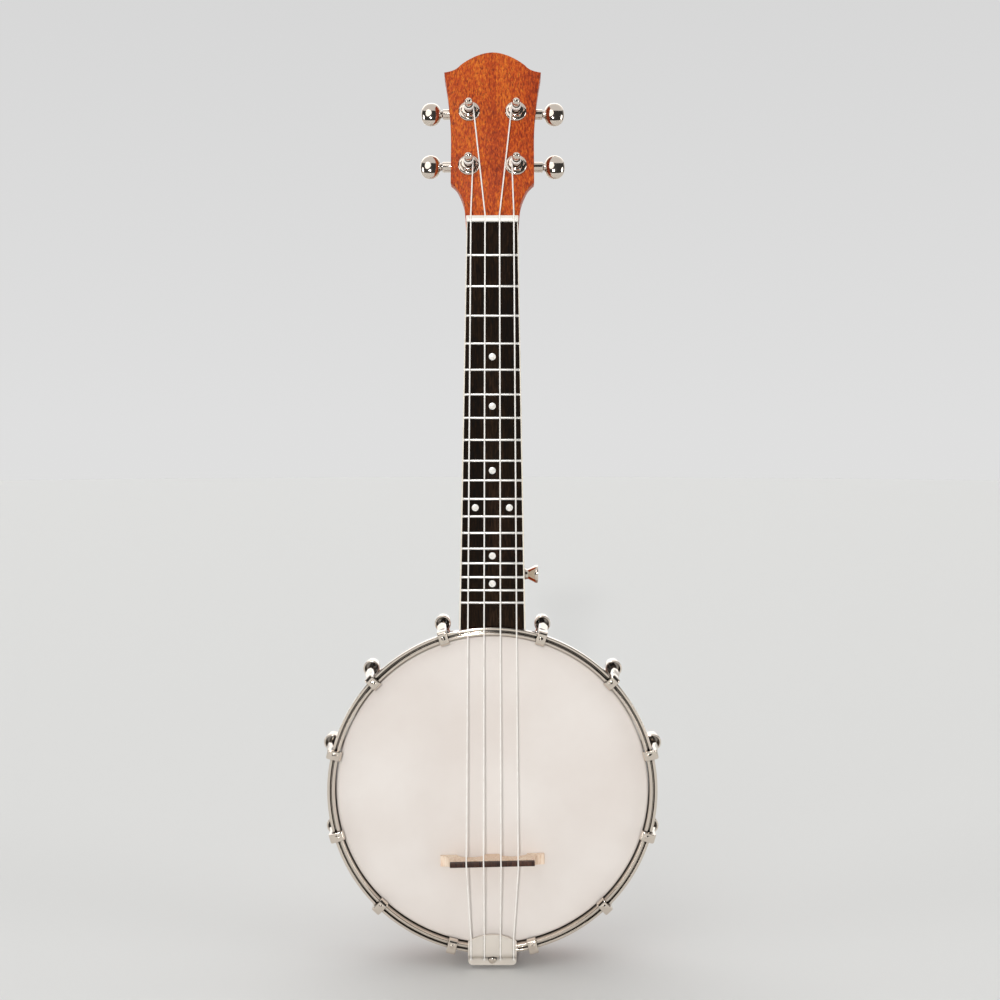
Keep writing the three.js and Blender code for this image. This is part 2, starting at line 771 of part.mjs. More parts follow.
// Heel, shaft, and the swelling into the headstock
function neckSections() {
  const sections = [];
  const lerp = THREE.MathUtils.lerp;
  const heelEnd = rimOuterRadius - boardEnd - overrun;
  for (let i = 0; i < heelSteps; i += 1) {
    const along = lerp(heelEnd, heelLength, i / heelSteps);
    const share = (1 - Math.max(along, 0) / heelLength) ** heelCurvePower;
    const shaftDepth = lerp(shaftDepthAtHeel, shaftDepthAtNut, along / nutFront);
    const depth = shaftDepth + share * (heelDepth - shaftDepthAtHeel);
    const power = lerp(shaftSectionPower, heelSectionPower, share);
    sections.push(neckSection(along, boardHalf(along) - neckSideInset, depth, power));
  }
  const blendStart = headStart - headBlend;
  for (let i = 0; i < shaftSteps; i += 1) {
    const along = lerp(heelLength, blendStart, i / shaftSteps);
    const depth = lerp(shaftDepthAtHeel, shaftDepthAtNut, along / nutFront);
    sections.push(neckSection(along, boardHalf(along) - neckSideInset, depth, shaftSectionPower));
  }
  for (let i = 0; i <= headBlendSteps; i += 1) {
    const share = (i / headBlendSteps) ** 2;
    const along = blendStart + 2 * headBlend * i / headBlendSteps;
    const half = lerp(boardHalf(blendStart) - neckSideInset, headBlendHalf, share);
    const depth = lerp(shaftDepthAtNut, headBlendDepth, share);
    const power = lerp(shaftSectionPower, headBlendPower, share);
    sections.push(neckSection(along, half, depth, power));
  }
  return sections;
}

// The headstock's outline: a throat, square shoulders, flaring sides, and a crown between
// two horns. Control points are shares of the horn's half width and the crest's length.
function headOutline() {
  const shoulderShares = [[0.574, 0.108], [0.694, 0.17]];
  const flareShares = [0.852, 0.648];
  const hornShares = [[0.833, 0.882], [0.741, 0.894], [0.676, 0.918]];
  const crestShares = [[0.525, 0.955], [0.247, 1]];
  const place = ([halfShare, lengthShare]) => [halfShare * headHornHalf, lengthShare * headCrestLength];
  const side = new THREE.Path();
  side.moveTo(headThroatHalf, headThroatLength);
  side.bezierCurveTo(...shoulderShares.flatMap(place), headShoulderHalf, headShoulderLength);
  side.lineTo(headShoulderHalf, headWaistLength);
  side.quadraticCurveTo(...place(flareShares), headHornHalf, headHornLength);
  side.bezierCurveTo(...hornShares.flatMap(place));
  side.bezierCurveTo(...crestShares.flatMap(place), 0, headCrestLength);
  const right = side.getPoints(headCurveSteps);
  const left = right.slice(0, -1).reverse().map((point) => new THREE.Vector2(-point.x, point.y));
  return new THREE.Shape([...right, ...left]);
}

const postPlaces = [
  [-1, lowerPostLength], [-1, upperPostLength], [1, upperPostLength], [1, lowerPostLength],
];
const earEnd = caseBelow + caseEarLength;
const earMiddle = earEnd - caseEarHalf;

function buildNeck() {
  const faceCut = block([-headHornHalf, -headThickness, 0], [headHornHalf, 0, 2 * headBlend]);
  const shaft = cut(loft(neckSections()), faceCut.applyMatrix4(headToNeck));
  const head = slab(headOutline(), 0, headThickness, headEdge, headCurveSteps).applyMatrix4(headToNeck);
  const inHead = postPlaces.flatMap(([side, length]) => {
    const x = side * postSpread;
    const through = headThickness + overrun;
    const screwStart = caseFront - caseScrewLength - runGap;
    return [
      barY(woodHoleRadius, -overrun, through, x, length, postSides),
      barY(caseScrewShank + seatGap, screwStart, through, x, length - earMiddle, rodSides),
    ];
  }).map((hole) => hole.applyMatrix4(headToNeck));
  const hoopClear = fleshBack + hoopTravelBack + runGap;
  const boltEnd = rimOuterRadius + coordinatorHeelBite + runGap;
  const boltHole = coordinatorEndRadius + seatGap;
  const inPot = [
    barY(shoeSeatRadius, -rimDepth, 2 * rimDepth, 0, 0, rimSides),
    barY(hoopOuterRadius + boardEndGap, -rimDepth, hoopClear, 0, 0, rimSides),
    barZ(boltHole, rimInnerRadius, boltEnd, 0, coordinatorDepth, coordinatorSides),
  ].map((tool) => tool.applyMatrix4(potToNeck));
  const strapSeat = boardHalf(strapAlong) - neckSideInset;
  const pinEnd = strapSeat - strapPinLength - seatGap;
  const pinStart = strapSeat + overrun;
  const pinHole = barX(strapPinRadius + seatGap, pinEnd, pinStart, strapDeep, strapAlong, rodSides);
  return piece('neck', cut(join(shaft, head), ...inHead, ...inPot, pinHole), mahogany);
}

// The fretboard with its frets, which stop short of its edges
function buildFretboard() {
  const section = (along) => {
    const half = boardHalf(along);
    return [
      [half, boardThickness, along],
      [half, boardEdge, along],
      [half - boardEdge, 0, along],
      [boardEdge - half, 0, along],
      [-half, boardEdge, along],
      [-half, boardThickness, along],
    ];
  };
  const frets = [];
  const crownShares = [[-1, -1], [-1, 0.3], [-0.4, 1], [0.4, 1], [1, 0.3], [1, -1]];
  for (let fret = 1; fret <= fretCount; fret += 1) {
    const along = nutFront - scaleLength * (1 - 2 ** (-fret / 12));
    const outline = crownShares.map(([widthShare, heightShare]) => (
      [along + widthShare * fretWidth / 2, -heightShare * fretHeight]));
    frets.push(sideBar(outline, 2 * (boardHalf(along) - fretInset)));
  }
  return piece('fretboard', join(loft([section(0), section(boardLength)]), ...frets), blackwood);
}

function buildStringNut() {
  const base = neckTop - seatGap;
  const profile = [
    [nutFront, base],
    [nutFront, -nutRise],
    [nutFront + nutThickness / 2, -nutRise],
    [nutBack, nutBackFall - nutRise],
    [nutBack, base],
  ];
  const slots = [-stringOuterAtNut, -stringInnerAtNut, stringInnerAtNut, stringOuterAtNut].map((x) => (
    block(
      [x - nutSlotWidth / 2, -nutRise - overrun, nutFront - overrun],
      [x + nutSlotWidth / 2, nutSlotDepth - nutRise, nutBack + overrun],
    )));
  return piece('string_nut', cut(sideBar(profile, nutWidth), ...slots), bone);
}

// The strap button, turned about its pin along X
function buildStrapButton() {
  const seat = boardHalf(strapAlong) - neckSideInset + seatGap;
  const profile = [
    [0, -strapPinLength],
    [strapPinRadius, -strapPinLength],
    [strapPinRadius, 0],
    [strapBaseRadius, 0],
    [strapWaistRadius, strapLength / 4],
    [(strapWaistRadius + strapRadius) / 2, strapLength / 2],
    [strapRadius, strapLength - strapRimThickness],
    [strapRadius, strapLength - strapEdge],
    [strapRadius - strapEdge, strapLength],
    [0, strapLength],
  ];
  const form = revolve(profile, strapSides).rotateZ(-Math.PI / 2);
  return piece('strap_button', form.translate(seat, strapDeep, strapAlong), chrome);
}

neckFrame.add(buildNeck());
neckFrame.add(buildFretboard());
neckFrame.add(buildStringNut());
neckFrame.add(buildStrapButton());

// A bushing in the headstock's face: washer, hexagon and sleeve, bored for the post
function buildBushing(name) {
  const washerBack = -seatGap;
  const washerFront = washerBack - washerThickness;
  const washer = barY(washerRadius, washerFront, washerBack, 0, 0, washerSides);
  const hexagon = barY(hexRadius(bushingFlats), bushingFront, washerBack, 0, 0, hexSides);
  const sleeve = barY(bushingSleeveRadius, washerFront, bushingBack, 0, 0, postSides);
  const bore = barY(bushingBoreRadius, bushingFront - overrun, bushingBack + overrun, 0, 0, postSides);
  return piece(name, cut(join(washer, hexagon, sleeve), bore), chrome);
}

// The slope of a tooth's side, and its width where the root circle is
const toothSlope = (toothWidth - toothTipWidth) / (2 * toothRise);
const toothRootWidth = toothWidth + 2 * toothFall * toothSlope;

// The worm wheel: slanted teeth, one of them pointing at the worm
function wheel() {
  const layer = (depth) => {
    const slant = wormPitch / (2 * Math.PI * wormPitchRadius) * (depth - gearDepth) / wheelPitchRadius;
    const points = [];
    const place = ([radius, turn]) => [radius * Math.sin(turn), depth, radius * Math.cos(turn)];
    for (let tooth = 0; tooth < wheelTeeth; tooth += 1) {
      const middle = 2 * Math.PI * tooth / wheelTeeth + slant;
      const tip = toothTipWidth / 2 / wheelTipRadius;
      const root = toothRootWidth / 2 / wheelRootRadius;
      const corners = [
        [wheelRootRadius, middle - root], [wheelTipRadius, middle - tip],
        [wheelTipRadius, middle + tip], [wheelRootRadius, middle + root],
      ];
      points.push(...corners.map(place));
    }
    return points;
  };
  const half = wheelThickness / 2;
  return loft([layer(gearDepth - half), layer(gearDepth + half)]);
}

// The string post on its worm wheel, from the ball at the front to the tail in the case
function buildPost(name) {
  const profile = [];
  const waistTurn = Math.asin(postWaistRadius / postBallRadius);
  for (let i = 0; i <= postBallSteps; i += 1) {
    const turn = (Math.PI - waistTurn) * i / postBallSteps;
    profile.push([postBallRadius * Math.sin(turn), ballCentre - postBallRadius * Math.cos(turn)]);
  }
  profile.push([postWaistRadius, waistFront]);
  profile.push([postRadius, waistFront]);
  profile.push([postRadius, gearDepth]);
  profile.push([postTailRadius, gearDepth]);
  profile.push([postTailRadius, postBottom]);
  profile.push([0, postBottom]);
  const hole = barX(postHoleRadius, -overrun, overrun, waistFront - postWaistLength, 0, stringSides);
  return piece(name, cut(join(revolve(profile, postSides), wheel()), hole), chrome);
}

// The worm: a right-hand thread, with a gap of it facing the wheel's tooth. Its surface is
// one sheet of rows along the thread's profile, wound so that each turn meets the next.
function worm() {
  const half = wormLength / 2;
  const rootSpace = wormPitch - toothRootWidth;
  const profile = [
    [0, wormRootRadius], [rootSpace, wormRootRadius],
    [rootSpace + (toothRootWidth - toothTipWidth) / 2, wormTipRadius],
    [wormPitch - (toothRootWidth - toothTipWidth) / 2, wormTipRadius],
  ];
  const turns = wormTurns + wormSpareTurns;
  const start = -wormPitch * Math.ceil((turns + 1) / 2) - rootSpace / 2;
  const places = [];
  const rows = profile.length * turns;
  for (let row = 0; row <= rows + profile.length; row += 1) {
    const [across, radius] = profile[row % profile.length];
    const whole = Math.floor(row / profile.length);
    for (let side = 0; side < wormSides; side += 1) {
      const turn = 2 * Math.PI * side / wormSides - Math.PI / 2;
      const along = start + across + wormPitch * (whole + side / wormSides);
      places.push(along, radius * Math.cos(turn), radius * Math.sin(turn));
    }
  }
  const place = (row, side) => (
    side < wormSides ? row * wormSides + side : (row + profile.length) * wormSides);
  const corners = [];
  for (let row = 0; row < rows; row += 1) {
    for (let side = 0; side < wormSides; side += 1) {
      corners.push(place(row, side), place(row, side + 1), place(row + 1, side + 1));
      corners.push(place(row, side), place(row + 1, side + 1), place(row + 1, side));
    }
  }
  const firstMiddle = places.length / 3;
  places.push(start - wormPitch, 0, 0, wormPitch + places[3 * place(rows, wormSides)], 0, 0);
  [[0, firstMiddle], [rows, firstMiddle + 1]].forEach(([row, middle], end) => {
    const edge = [];
    for (let side = 0; side <= wormSides; side += 1) {
      edge.push(place(row, side));
    }
    for (let back = profile.length - 1; back > 0; back -= 1) {
      edge.push(place(row + back, 0));
    }
    edge.forEach((here, i) => {
      const next = edge[(i + 1) % edge.length];
      corners.push(...(end ? [middle, here, next] : [middle, next, here]));
    });
  });
  const sheet = new THREE.BufferGeometry();
  sheet.setAttribute('position', new THREE.Float32BufferAttribute(places, 3));
  sheet.setIndex(corners);
  return common(sheet, barX(2 * wormTipRadius, -half, half, 0, 0, wormClipSides));
}

// The oval button, its shaft through the barrel, and the worm
function buildButton(name, side) {
  const neckStart = barrelReach + runGap - postSpread;
  const neckEnd = neckStart + buttonNeckLength;
  const profile = [];
  for (let i = 0; i <= buttonRows; i += 1) {
    const turn = Math.PI * i / buttonRows;
    const along = -Math.sign(Math.cos(turn)) * Math.abs(Math.cos(turn)) ** buttonPower;
    const radius = i % buttonRows === 0 ? 0 : Math.sin(turn) ** buttonPower;
    profile.push([radius * buttonHeight / 2, along * buttonLength / 2]);
  }
  const oval = revolve(profile, buttonSides).rotateZ(-Math.PI / 2);
  oval.scale(1, buttonThickness / buttonHeight, 1).translate(side * (neckEnd + buttonLength / 2), 0, 0);
  const shaftEnd = neckEnd + buttonLength / 2;
  const collar = barX(buttonNeckRadius, side * neckStart, side * shaftEnd, 0, 0, wormSides);
  const tail = wormLength / 2 + wormTailLength;
  const shaft = barX(wormShaftRadius, -side * tail, side * shaftEnd, 0, 0, wormSides);
  const result = piece(name, join(oval, collar, shaft, worm()), chrome);
  result.position.set(0, gearDepth, gearCentreDistance);
  return result;
}

// The gear case behind the headstock, with its barrel, its screwed ear and the gears' bores
function buildCase(name, side) {
  const outline = new THREE.Shape();
  const inX = caseHalfWidth - caseCorner;
  const low = caseCorner - caseBelow;
  const high = caseAbove - caseCorner;
  outline.absarc(inX, low, caseCorner, -Math.PI / 2, 0);
  outline.absarc(inX, high, caseCorner, 0, Math.PI / 2);
  outline.absarc(-inX, high, caseCorner, Math.PI / 2, Math.PI);
  outline.absarc(-inX, low, caseCorner, Math.PI, 3 * Math.PI / 2);
  const shell = slab(outline, caseFront, caseDepth, caseEdge, caseCurveSteps);
  const earBack = caseFront + caseEarThickness;
  const earRound = barY(caseEarHalf, caseFront, earBack, 0, -earMiddle, barrelSides);
  const ear = block([-caseEarHalf, caseFront, -earMiddle], [caseEarHalf, earBack, low]);
  const screwHead = barY(caseScrewRadius, caseFront, earBack + caseScrewRise, 0, -earMiddle, rodSides);
  const screw = barY(caseScrewShank, caseFront - caseScrewLength, earBack, 0, -earMiddle, boltSides);
  const reach = barrelReach - postSpread;
  const barrel = barX(barrelRadius, 0, side * reach, gearDepth, gearCentreDistance, barrelSides);
  const wormHalf = wormLength / 2 + runGap;
  const tail = wormHalf + wormTailLength;
  const wheelHalf = wheelThickness / 2 + runGap;
  const tailBore = (postTailRadius + runGap) / Math.cos(Math.PI / postSides);
  const bores = [
    barY(bushingBoreRadius, caseFront - overrun, gearDepth, 0, 0, postSides),
    barY(wheelBoreRadius, gearDepth - wheelHalf, gearDepth + wheelHalf, 0, 0, gearBoreSides),
    barY(tailBore, gearDepth, caseBack - caseWall, 0, 0, postSides),
    barX(wormBoreRadius, -wormHalf, wormHalf, gearDepth, gearCentreDistance, gearBoreSides),
    barX(wormShaftBore, -side * tail, side * (reach + overrun), gearDepth, gearCentreDistance, wormSides),
  ];
  return piece(name, cut(join(shell, earRound, ear, screwHead, screw, barrel), ...bores), chrome);
}

postPlaces.forEach(([side, length], index) => {
  const machine = new THREE.Group();
  machine.position.set(side * postSpread, 0, length);
  machine.add(buildBushing(`bushing_${index + 1}`));
  machine.add(buildPost(`post_${index + 1}`));
  machine.add(buildCase(`tuner_case_${index + 1}`, side));
  machine.add(buildButton(`tuning_button_${index + 1}`, side));
  headFrame.add(machine);
});

// The bridge, standing on the skin a little askew, with its neck side upright
const bridge = new THREE.Group();
bridge.position.z = -bridgeFromCentre;
bridge.rotation.y = -THREE.MathUtils.degToRad(bridgeSkewDegrees);
pot.add(bridge);

function buildBridgeBase() {
  const half = bridgeLength / 2;
  const topHalf = bridgeTopLength / 2;
  const top = bridgeHeight - bridgeCapHeight;
  const archHalf = (half - bridgeOuterFoot - bridgeMiddleFoot / 2) / 2;
  const archMiddle = bridgeMiddleFoot / 2 + archHalf;
  const outline = new THREE.Shape();
  outline.moveTo(half, 0);
  outline.lineTo(half, bridgeFootRise);
  outline.quadraticCurveTo(topHalf, bridgeFootRise, topHalf, top);
  outline.lineTo(-topHalf, top);
  outline.quadraticCurveTo(-topHalf, bridgeFootRise, -half, bridgeFootRise);
  outline.lineTo(-half, 0);
  outline.absellipse(-archMiddle, 0, archHalf, bridgeArchRise, Math.PI, 0, true);
  outline.absellipse(archMiddle, 0, archHalf, bridgeArchRise, Math.PI, 0, true);
  const wide = new THREE.ExtrudeGeometry(outline, {
    depth: bridgeFootThickness, bevelEnabled: false, curveSegments: bridgeCurveSteps,
  });
  wide.scale(1, -1, 1).translate(0, bridgeFeet, bridgeTopThickness / 2 - bridgeFootThickness);
  const front = bridgeTopThickness / 2;
  const taper = [
    [front, bridgeFeet],
    [front - bridgeFootThickness, bridgeFeet],
    [front - bridgeFootThickness, bridgeFeet - bridgeFootRise],
    [-front, bridgeFeet - top],
    [front, bridgeFeet - top],
  ];
  return piece('bridge_base', common(wide, sideBar(taper, 2 * bridgeLength)), maple);
}

function buildBridgeCap() {
  const half = bridgeCapLength / 2;
  const front = bridgeTopThickness / 2;
  const capBack = bridgeTop + bridgeCapHeight - seatGap;
  const body = block([-half, bridgeTop, -front], [half, capBack, front]);
  const places = [-stringOuterAtBridge, -stringInnerAtBridge, stringInnerAtBridge, stringOuterAtBridge];
  const notches = places.map((x) => (
    block(
      [x - bridgeNotchWidth / 2, bridgeTop - overrun, -bridgeFootThickness],
      [x + bridgeNotchWidth / 2, bridgeTop + bridgeNotchDepth, bridgeFootThickness],
    )));
  return piece('bridge_cap', cut(body, ...notches), blackwood);
}

bridge.add(buildBridgeBase());
bridge.add(buildBridgeCap());
pot.updateMatrixWorld(true);
const bridgeToPot = bridge.matrixWorld.clone();

// One string: a knot at the tailpiece, the plate, the bridge, the nut and the post's turns
function buildString(name, side, atNut, atBridge, atTail, postLength) {
  const inNeck = (x, y, z) => new THREE.Vector3(x, y, z).applyMatrix4(neckToPot);
  const inHead = (x, y, z) => new THREE.Vector3(x, y, z).applyMatrix4(headToPot);
  const inBridge = (x, y, z) => new THREE.Vector3(x, y, z).applyMatrix4(bridgeToPot);
  const knotDepth = tailFront + tailStep - seatGap - knotRadius;
  const knot = new THREE.Vector3(side * atTail, knotDepth, -(tailFoldLength + tailStepRun + knotRadius));
  const winding = [];
  for (let step = 0; step <= windingTurns * windingSteps; step += 1) {
    const turn = 2 * Math.PI * step / windingSteps;
    const x = side * (postSpread - windingRadius * Math.cos(turn));
    const y = windingStart - windingPitch * step / windingSteps;
    winding.push(inHead(x, y, postLength + windingRadius * Math.sin(turn)));
  }
  const route = [
    knot,
    new THREE.Vector3(side * atTail, (stringAtTail + knotDepth) / 2, -(tailFoldLength + stringRadius)),
    new THREE.Vector3(side * atTail, stringAtTail, -(tailFoldLength - tailSlotLength)),
    new THREE.Vector3(side * atTail, stringAtTail, -(tailFrontLength + tailArch / 2)),
    inBridge(side * atBridge, stringAtBridge, -bridgeTopThickness / 2 - stringRadius),
    inBridge(side * atBridge, stringAtBridge, bridgeTopThickness / 2 + stringRadius),
    inNeck(side * atNut, stringAtNut, nutFront),
    inNeck(side * atNut, stringAtNut, nutBack + stringRadius),
    ...winding,
  ];
  let least = Infinity;
  winding.forEach((first, i) => winding.slice(i + windingSteps / 2).forEach((second) => {
    least = Math.min(least, first.distanceTo(second) - 2 * stringRadius);
  }));
  console.log(`${name}: the winding's least gap to itself is ${least.toFixed(2)} mm`);
  const circle = [];
  for (let i = 0; i < stringSides; i += 1) {
    const turn = 2 * Math.PI * i / stringSides;
    circle.push(new THREE.Vector2(stringRadius * Math.cos(turn), stringRadius * Math.sin(turn)));
  }
  const tube = new THREE.ExtrudeGeometry(new THREE.Shape(circle), {
    steps: route.length - 1, extrudePath: new ListedRoute(route), bevelEnabled: false,
  });
  const sphere = new THREE.SphereGeometry(knotRadius, knotSides, knotSides / 2);
  const ball = sphere.translate(knot.x, knot.y, knot.z);
  return piece(name, join(tube, ball), nylon);
}

postPlaces.forEach(([side, length], index) => {
  const outer = length === lowerPostLength;
  pot.add(buildString(
    `string_${index + 1}`, side,
    outer ? stringOuterAtNut : stringInnerAtNut,
    outer ? stringOuterAtBridge : stringInnerAtBridge,
    outer ? stringOuterAtTail : stringInnerAtTail,
    length,
  ));
});

// The origin is where a wall hanger's yoke holds the headstock
const yoke = new THREE.Vector3(0, headThickness / 2, yokeLength).applyMatrix4(headToPot);
pot.position.copy(yoke).negate();

export default banjoUkulele;
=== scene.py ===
"""Looks of the banjo ukulele, built around its fixed frame.

Shapes are in millimetres, in the frame of the part that they belong to, and that frame's matrix
takes them to the row frame in metres. +Z runs up the neck and -Y faces the listener.
"""

from math import asin, copysign, cos, pi, radians, sin, sqrt

import bmesh
import bpy
from mathutils import Matrix, Vector


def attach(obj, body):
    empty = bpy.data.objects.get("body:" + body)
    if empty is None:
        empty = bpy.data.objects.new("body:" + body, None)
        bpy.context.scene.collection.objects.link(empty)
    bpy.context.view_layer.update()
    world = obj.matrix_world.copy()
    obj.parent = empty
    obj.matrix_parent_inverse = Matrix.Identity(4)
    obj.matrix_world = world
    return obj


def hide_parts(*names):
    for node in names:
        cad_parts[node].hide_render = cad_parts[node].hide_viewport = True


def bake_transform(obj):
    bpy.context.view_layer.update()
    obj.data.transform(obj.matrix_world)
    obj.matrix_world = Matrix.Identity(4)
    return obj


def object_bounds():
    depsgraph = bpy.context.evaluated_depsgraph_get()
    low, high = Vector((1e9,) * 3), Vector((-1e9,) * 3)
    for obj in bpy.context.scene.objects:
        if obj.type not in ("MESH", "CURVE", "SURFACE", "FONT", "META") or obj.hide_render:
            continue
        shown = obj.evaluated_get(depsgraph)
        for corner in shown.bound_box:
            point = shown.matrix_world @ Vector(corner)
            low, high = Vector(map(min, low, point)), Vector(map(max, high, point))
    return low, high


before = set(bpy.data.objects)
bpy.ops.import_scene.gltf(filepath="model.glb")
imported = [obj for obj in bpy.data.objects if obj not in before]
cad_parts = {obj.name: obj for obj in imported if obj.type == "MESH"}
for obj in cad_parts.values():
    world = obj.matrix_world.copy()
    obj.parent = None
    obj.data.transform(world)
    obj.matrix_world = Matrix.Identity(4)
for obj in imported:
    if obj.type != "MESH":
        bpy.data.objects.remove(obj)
cad_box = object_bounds()

MM = 0.001

# Room round a part in its bore, and how far a cutting tool reaches past what it cuts
PLAY, OVER, FAR_OVER = 0.3, 1, 3
# The reach of a hexagon's corners and of its chamfered face, as shares of its flats' reach
HEX_CORNER, HEX_FACE, HEX_CHAMFER = 1.16, 1.03, 0.6

# Pot
RIM_OUTER, RIM_WALL = 101.6, 9.0
RIM_FRONT, RIM_BACK = 0.6, 48.1
RIM_ROUND = 1.8
SKIN_INNER, SKIN_OUTER = 101.9, 102.2
SKIN_THICKNESS = 0.3
SKIN_ROUND = 2.4
SKIN_BACK = 12.2
FLESH_INNER, FLESH_OUTER = 102.5, 106.5
FLESH_FRONT, FLESH_BACK = 7.5, 11.3
FLESH_ROUND = 0.7
HOOP_INNER, HOOP_OUTER = 102.5, 107.5
HOOP_FRONT, HOOP_BACK = -5.0, 7.2
HOOP_GROOVE_INNER, HOOP_GROOVE_OUTER, HOOP_GROOVE_FLOOR = 104.4, 105.6, -3.0
HOOP_RIDGE_FRONT, HOOP_RIDGE_BACK = -4.3, 1.7
HOOP_FOOT, HOOP_FOOT_STEP, HOOP_ROUND = 106.55, 0.6, 0.6
HOOK_ANGLES = (17.5, 47.1, 76.7, 106.3, 135.9, 165.5)

# Hooks and shoes, with +Z outwards from the pot's axis
ROD_PLACE, ROD_RADIUS, ROD_BACK = 110.8, 2.0, 45.5
CLAW_HALF = 3.0
CLAW_FRONT, CLAW_BACK = -7.0, -5.3
LIP_PLACE, LIP_THICKNESS, LIP_BACK = 101.35, 1.3, -2.7
SHANK_PLACE, SHANK_THICKNESS = 109.1, 2.6
JOG_FRONT, JOG_BACK, SHANK_BACK = 5.0, 13.0, 18.0
HOOK_BEND, FLAT_POWER, ROUND_POWER = 1.5, 7, 2
BOSS_PLACE, BOSS_RADIUS, BOSS_RISE = 104.4, 1.3, 0.6
SHOE_FRONT, SHOE_BACK, SHOE_RADIUS, SHOE_ROUND = 26.5, 37.0, 5.4, 0.45
SHOE_MIDDLE = (SHOE_FRONT + SHOE_BACK) / 2
SHOE_CUP_RADIUS, SHOE_CUP_DEPTH = 4.4, 6.0
SHOE_SEAT, SHOE_FOOT_HALF, SHOE_FOOT_POWER = 101.9, 3.5, 6
# How much narrower and shorter the shoe's foot is at each rise above the rim
SHOE_FOOT_STEPS = ((0, 1.2, 0), (0, 1.2, 0.8), (0.5, 1.6, 1.6), (0.5, 1.6, 6))
SHOE_BOLT_RADIUS, SHOE_HEAD_FLATS, SHOE_HEAD_DEPTH, SHOE_HEAD_GAP = 2.0, 6.9, 2.2, 0.4
HOOK_NUT_FLATS, HOOK_NUT_BACK = 7.0, 42.0
THREAD_PLAY = 0.1
COORDINATOR_DEPTH, COORDINATOR_RADIUS, COORDINATOR_END = 19.5, 4.0, 2.5
COORDINATOR_BITE = 18.0
COORDINATOR_GAP, COORDINATOR_PROUD, COORDINATOR_ROUND = 0.4, 0.3, 0.4
END_NUT_FLATS, END_NUT_LENGTH = 9.0, 4.0
END_WASHER_RADIUS, END_WASHER_THICKNESS, END_WASHER_ROUND = 6.0, 1.2, 0.3

# Tailpiece
TAIL_HALF, TAIL_THICKNESS = 15.8, 1.4
TAIL_FRONT, TAIL_FLANGE_FRONT = -8.4, -4.4
TAIL_ARCH_START, TAIL_ARCH, TAIL_FOLD, TAIL_STEP_RUN, TAIL_END = 93.3, 4.6, 108.2, 1.2, 114.8
TAIL_CORNER, TAIL_BEND = 3.0, 1.85
TAIL_SLOT_HALF, TAIL_SLOT_LENGTH, TAIL_SLOT_STOP, TAIL_SKIM = 0.7, 1.2, 0.6, 0.01
TAIL_BOLT_RADIUS, TAIL_HEAD_DEPTH, TAIL_HEAD_CHAMFER = 2.7, 1.4, 1.1
TAIL_DOME_RISE, TAIL_DOME_TURN = 1.2, 1.25

# Neck
NECK_ANGLE, HEAD_ANGLE = -3.0, -14.0
BOARD_END, BOARD_RISE = 108.1, 3.0
BOARD_LENGTH, BOARD_THICKNESS = 261.3, 5.0
BOARD_END_WIDTH, BOARD_NUT_WIDTH = 43.1, 33.4
SCALE_LENGTH, FRETS = 381.0, 18
NUT_FRONT, NUT_BACK, NUT_HALF, NUT_RISE, NUT_FALL = 261.6, 265.8, 16.9, 2.4, 1.0
NUT_ROUND, NUT_SLOT_HALF, NUT_SLOT_DEPTH = 0.4, 0.7, 1.1
FRET_HALF, FRET_HEIGHT, FRET_BITE, FRET_TANG_HALF = 0.9, 1.0, 0.6, 0.3
# How a fret rises from each end: the way in, and the share of its height
FRET_ENDS = ((0, 0.35), (0.5, 0.85), (1.1, 1))
# How the nut's ends are rounded: the way in, and how much smaller it is there
NUT_ENDS = ((0, 0.5), (0.15, 0.15), (0.5, 0))
BINDING_AT_NUT, BINDING_AT_END = 0.6, 0.95
# The binding's front edge: the way in from the side, and the way down from the front
BINDING_EDGE = ((0.45, 0), (0.12, 0.14), (0, 0.5))
DOT_RADIUS, DOT_PROUD, DOT_DEPTH, DOT_SPREAD = 2.25, 0.04, 0.8, 11.05
SINGLE_DOTS, DOUBLE_DOTS = (5, 7, 10, 15, 17), (12,)
NECK_TOP, HEAD_START = 5.3, 266.1
NECK_SIDE_INSET = 0.2
SHAFT_AT_NUT, SHAFT_AT_HEEL, HEEL_DEPTH, HEEL_LENGTH = 14.0, 17.0, 39.0, 62.0
HEEL_CURVE, HEEL_ROOM, SHAFT_SECTION, HEEL_SECTION = 2.6, 1.1, 2.3, 1.7
STRAP_ALONG, STRAP_DEEP, STRAP_LENGTH = 33.3, 10.0, 8.8
STRAP_BASE, STRAP_WAIST, STRAP_RADIUS, STRAP_RIM = 3.8, 3.2, 6.0, 1.6
STRAP_PIN_RADIUS, STRAP_PIN_LENGTH, STRAP_ROUND = 1.6, 9.0, 0.7

# Headstock
HEAD_THICKNESS, HEAD_EDGE = 14.0, 0.9
YOKE_LENGTH = 14.0
HEAD_ROOT_HALF, HEAD_ROOT_LENGTH = 14.2, 0.3
SHOULDER_CARVE, CARVE_START, CARVE_RUN = 3.8, 17.0, 6.0
THROAT_HALF, THROAT_LENGTH = 18.0, 7.0
SHOULDER_HALF, SHOULDER_LENGTH, WAIST_LENGTH = 27.4, 24.4, 52.0
HORN_HALF, HORN_LENGTH, CREST_LENGTH = 32.4, 105.3, 120.4
BLEND_BEFORE, BLEND_AFTER, BLEND_END = 20.0, 4.0, 8.2
BLEND_HALF, BLEND_DEPTH, BLEND_SECTION, BLEND_TRIM = 18.0, 15.4, 8.0, 0.05
HEAD_CUT_HALF = 40

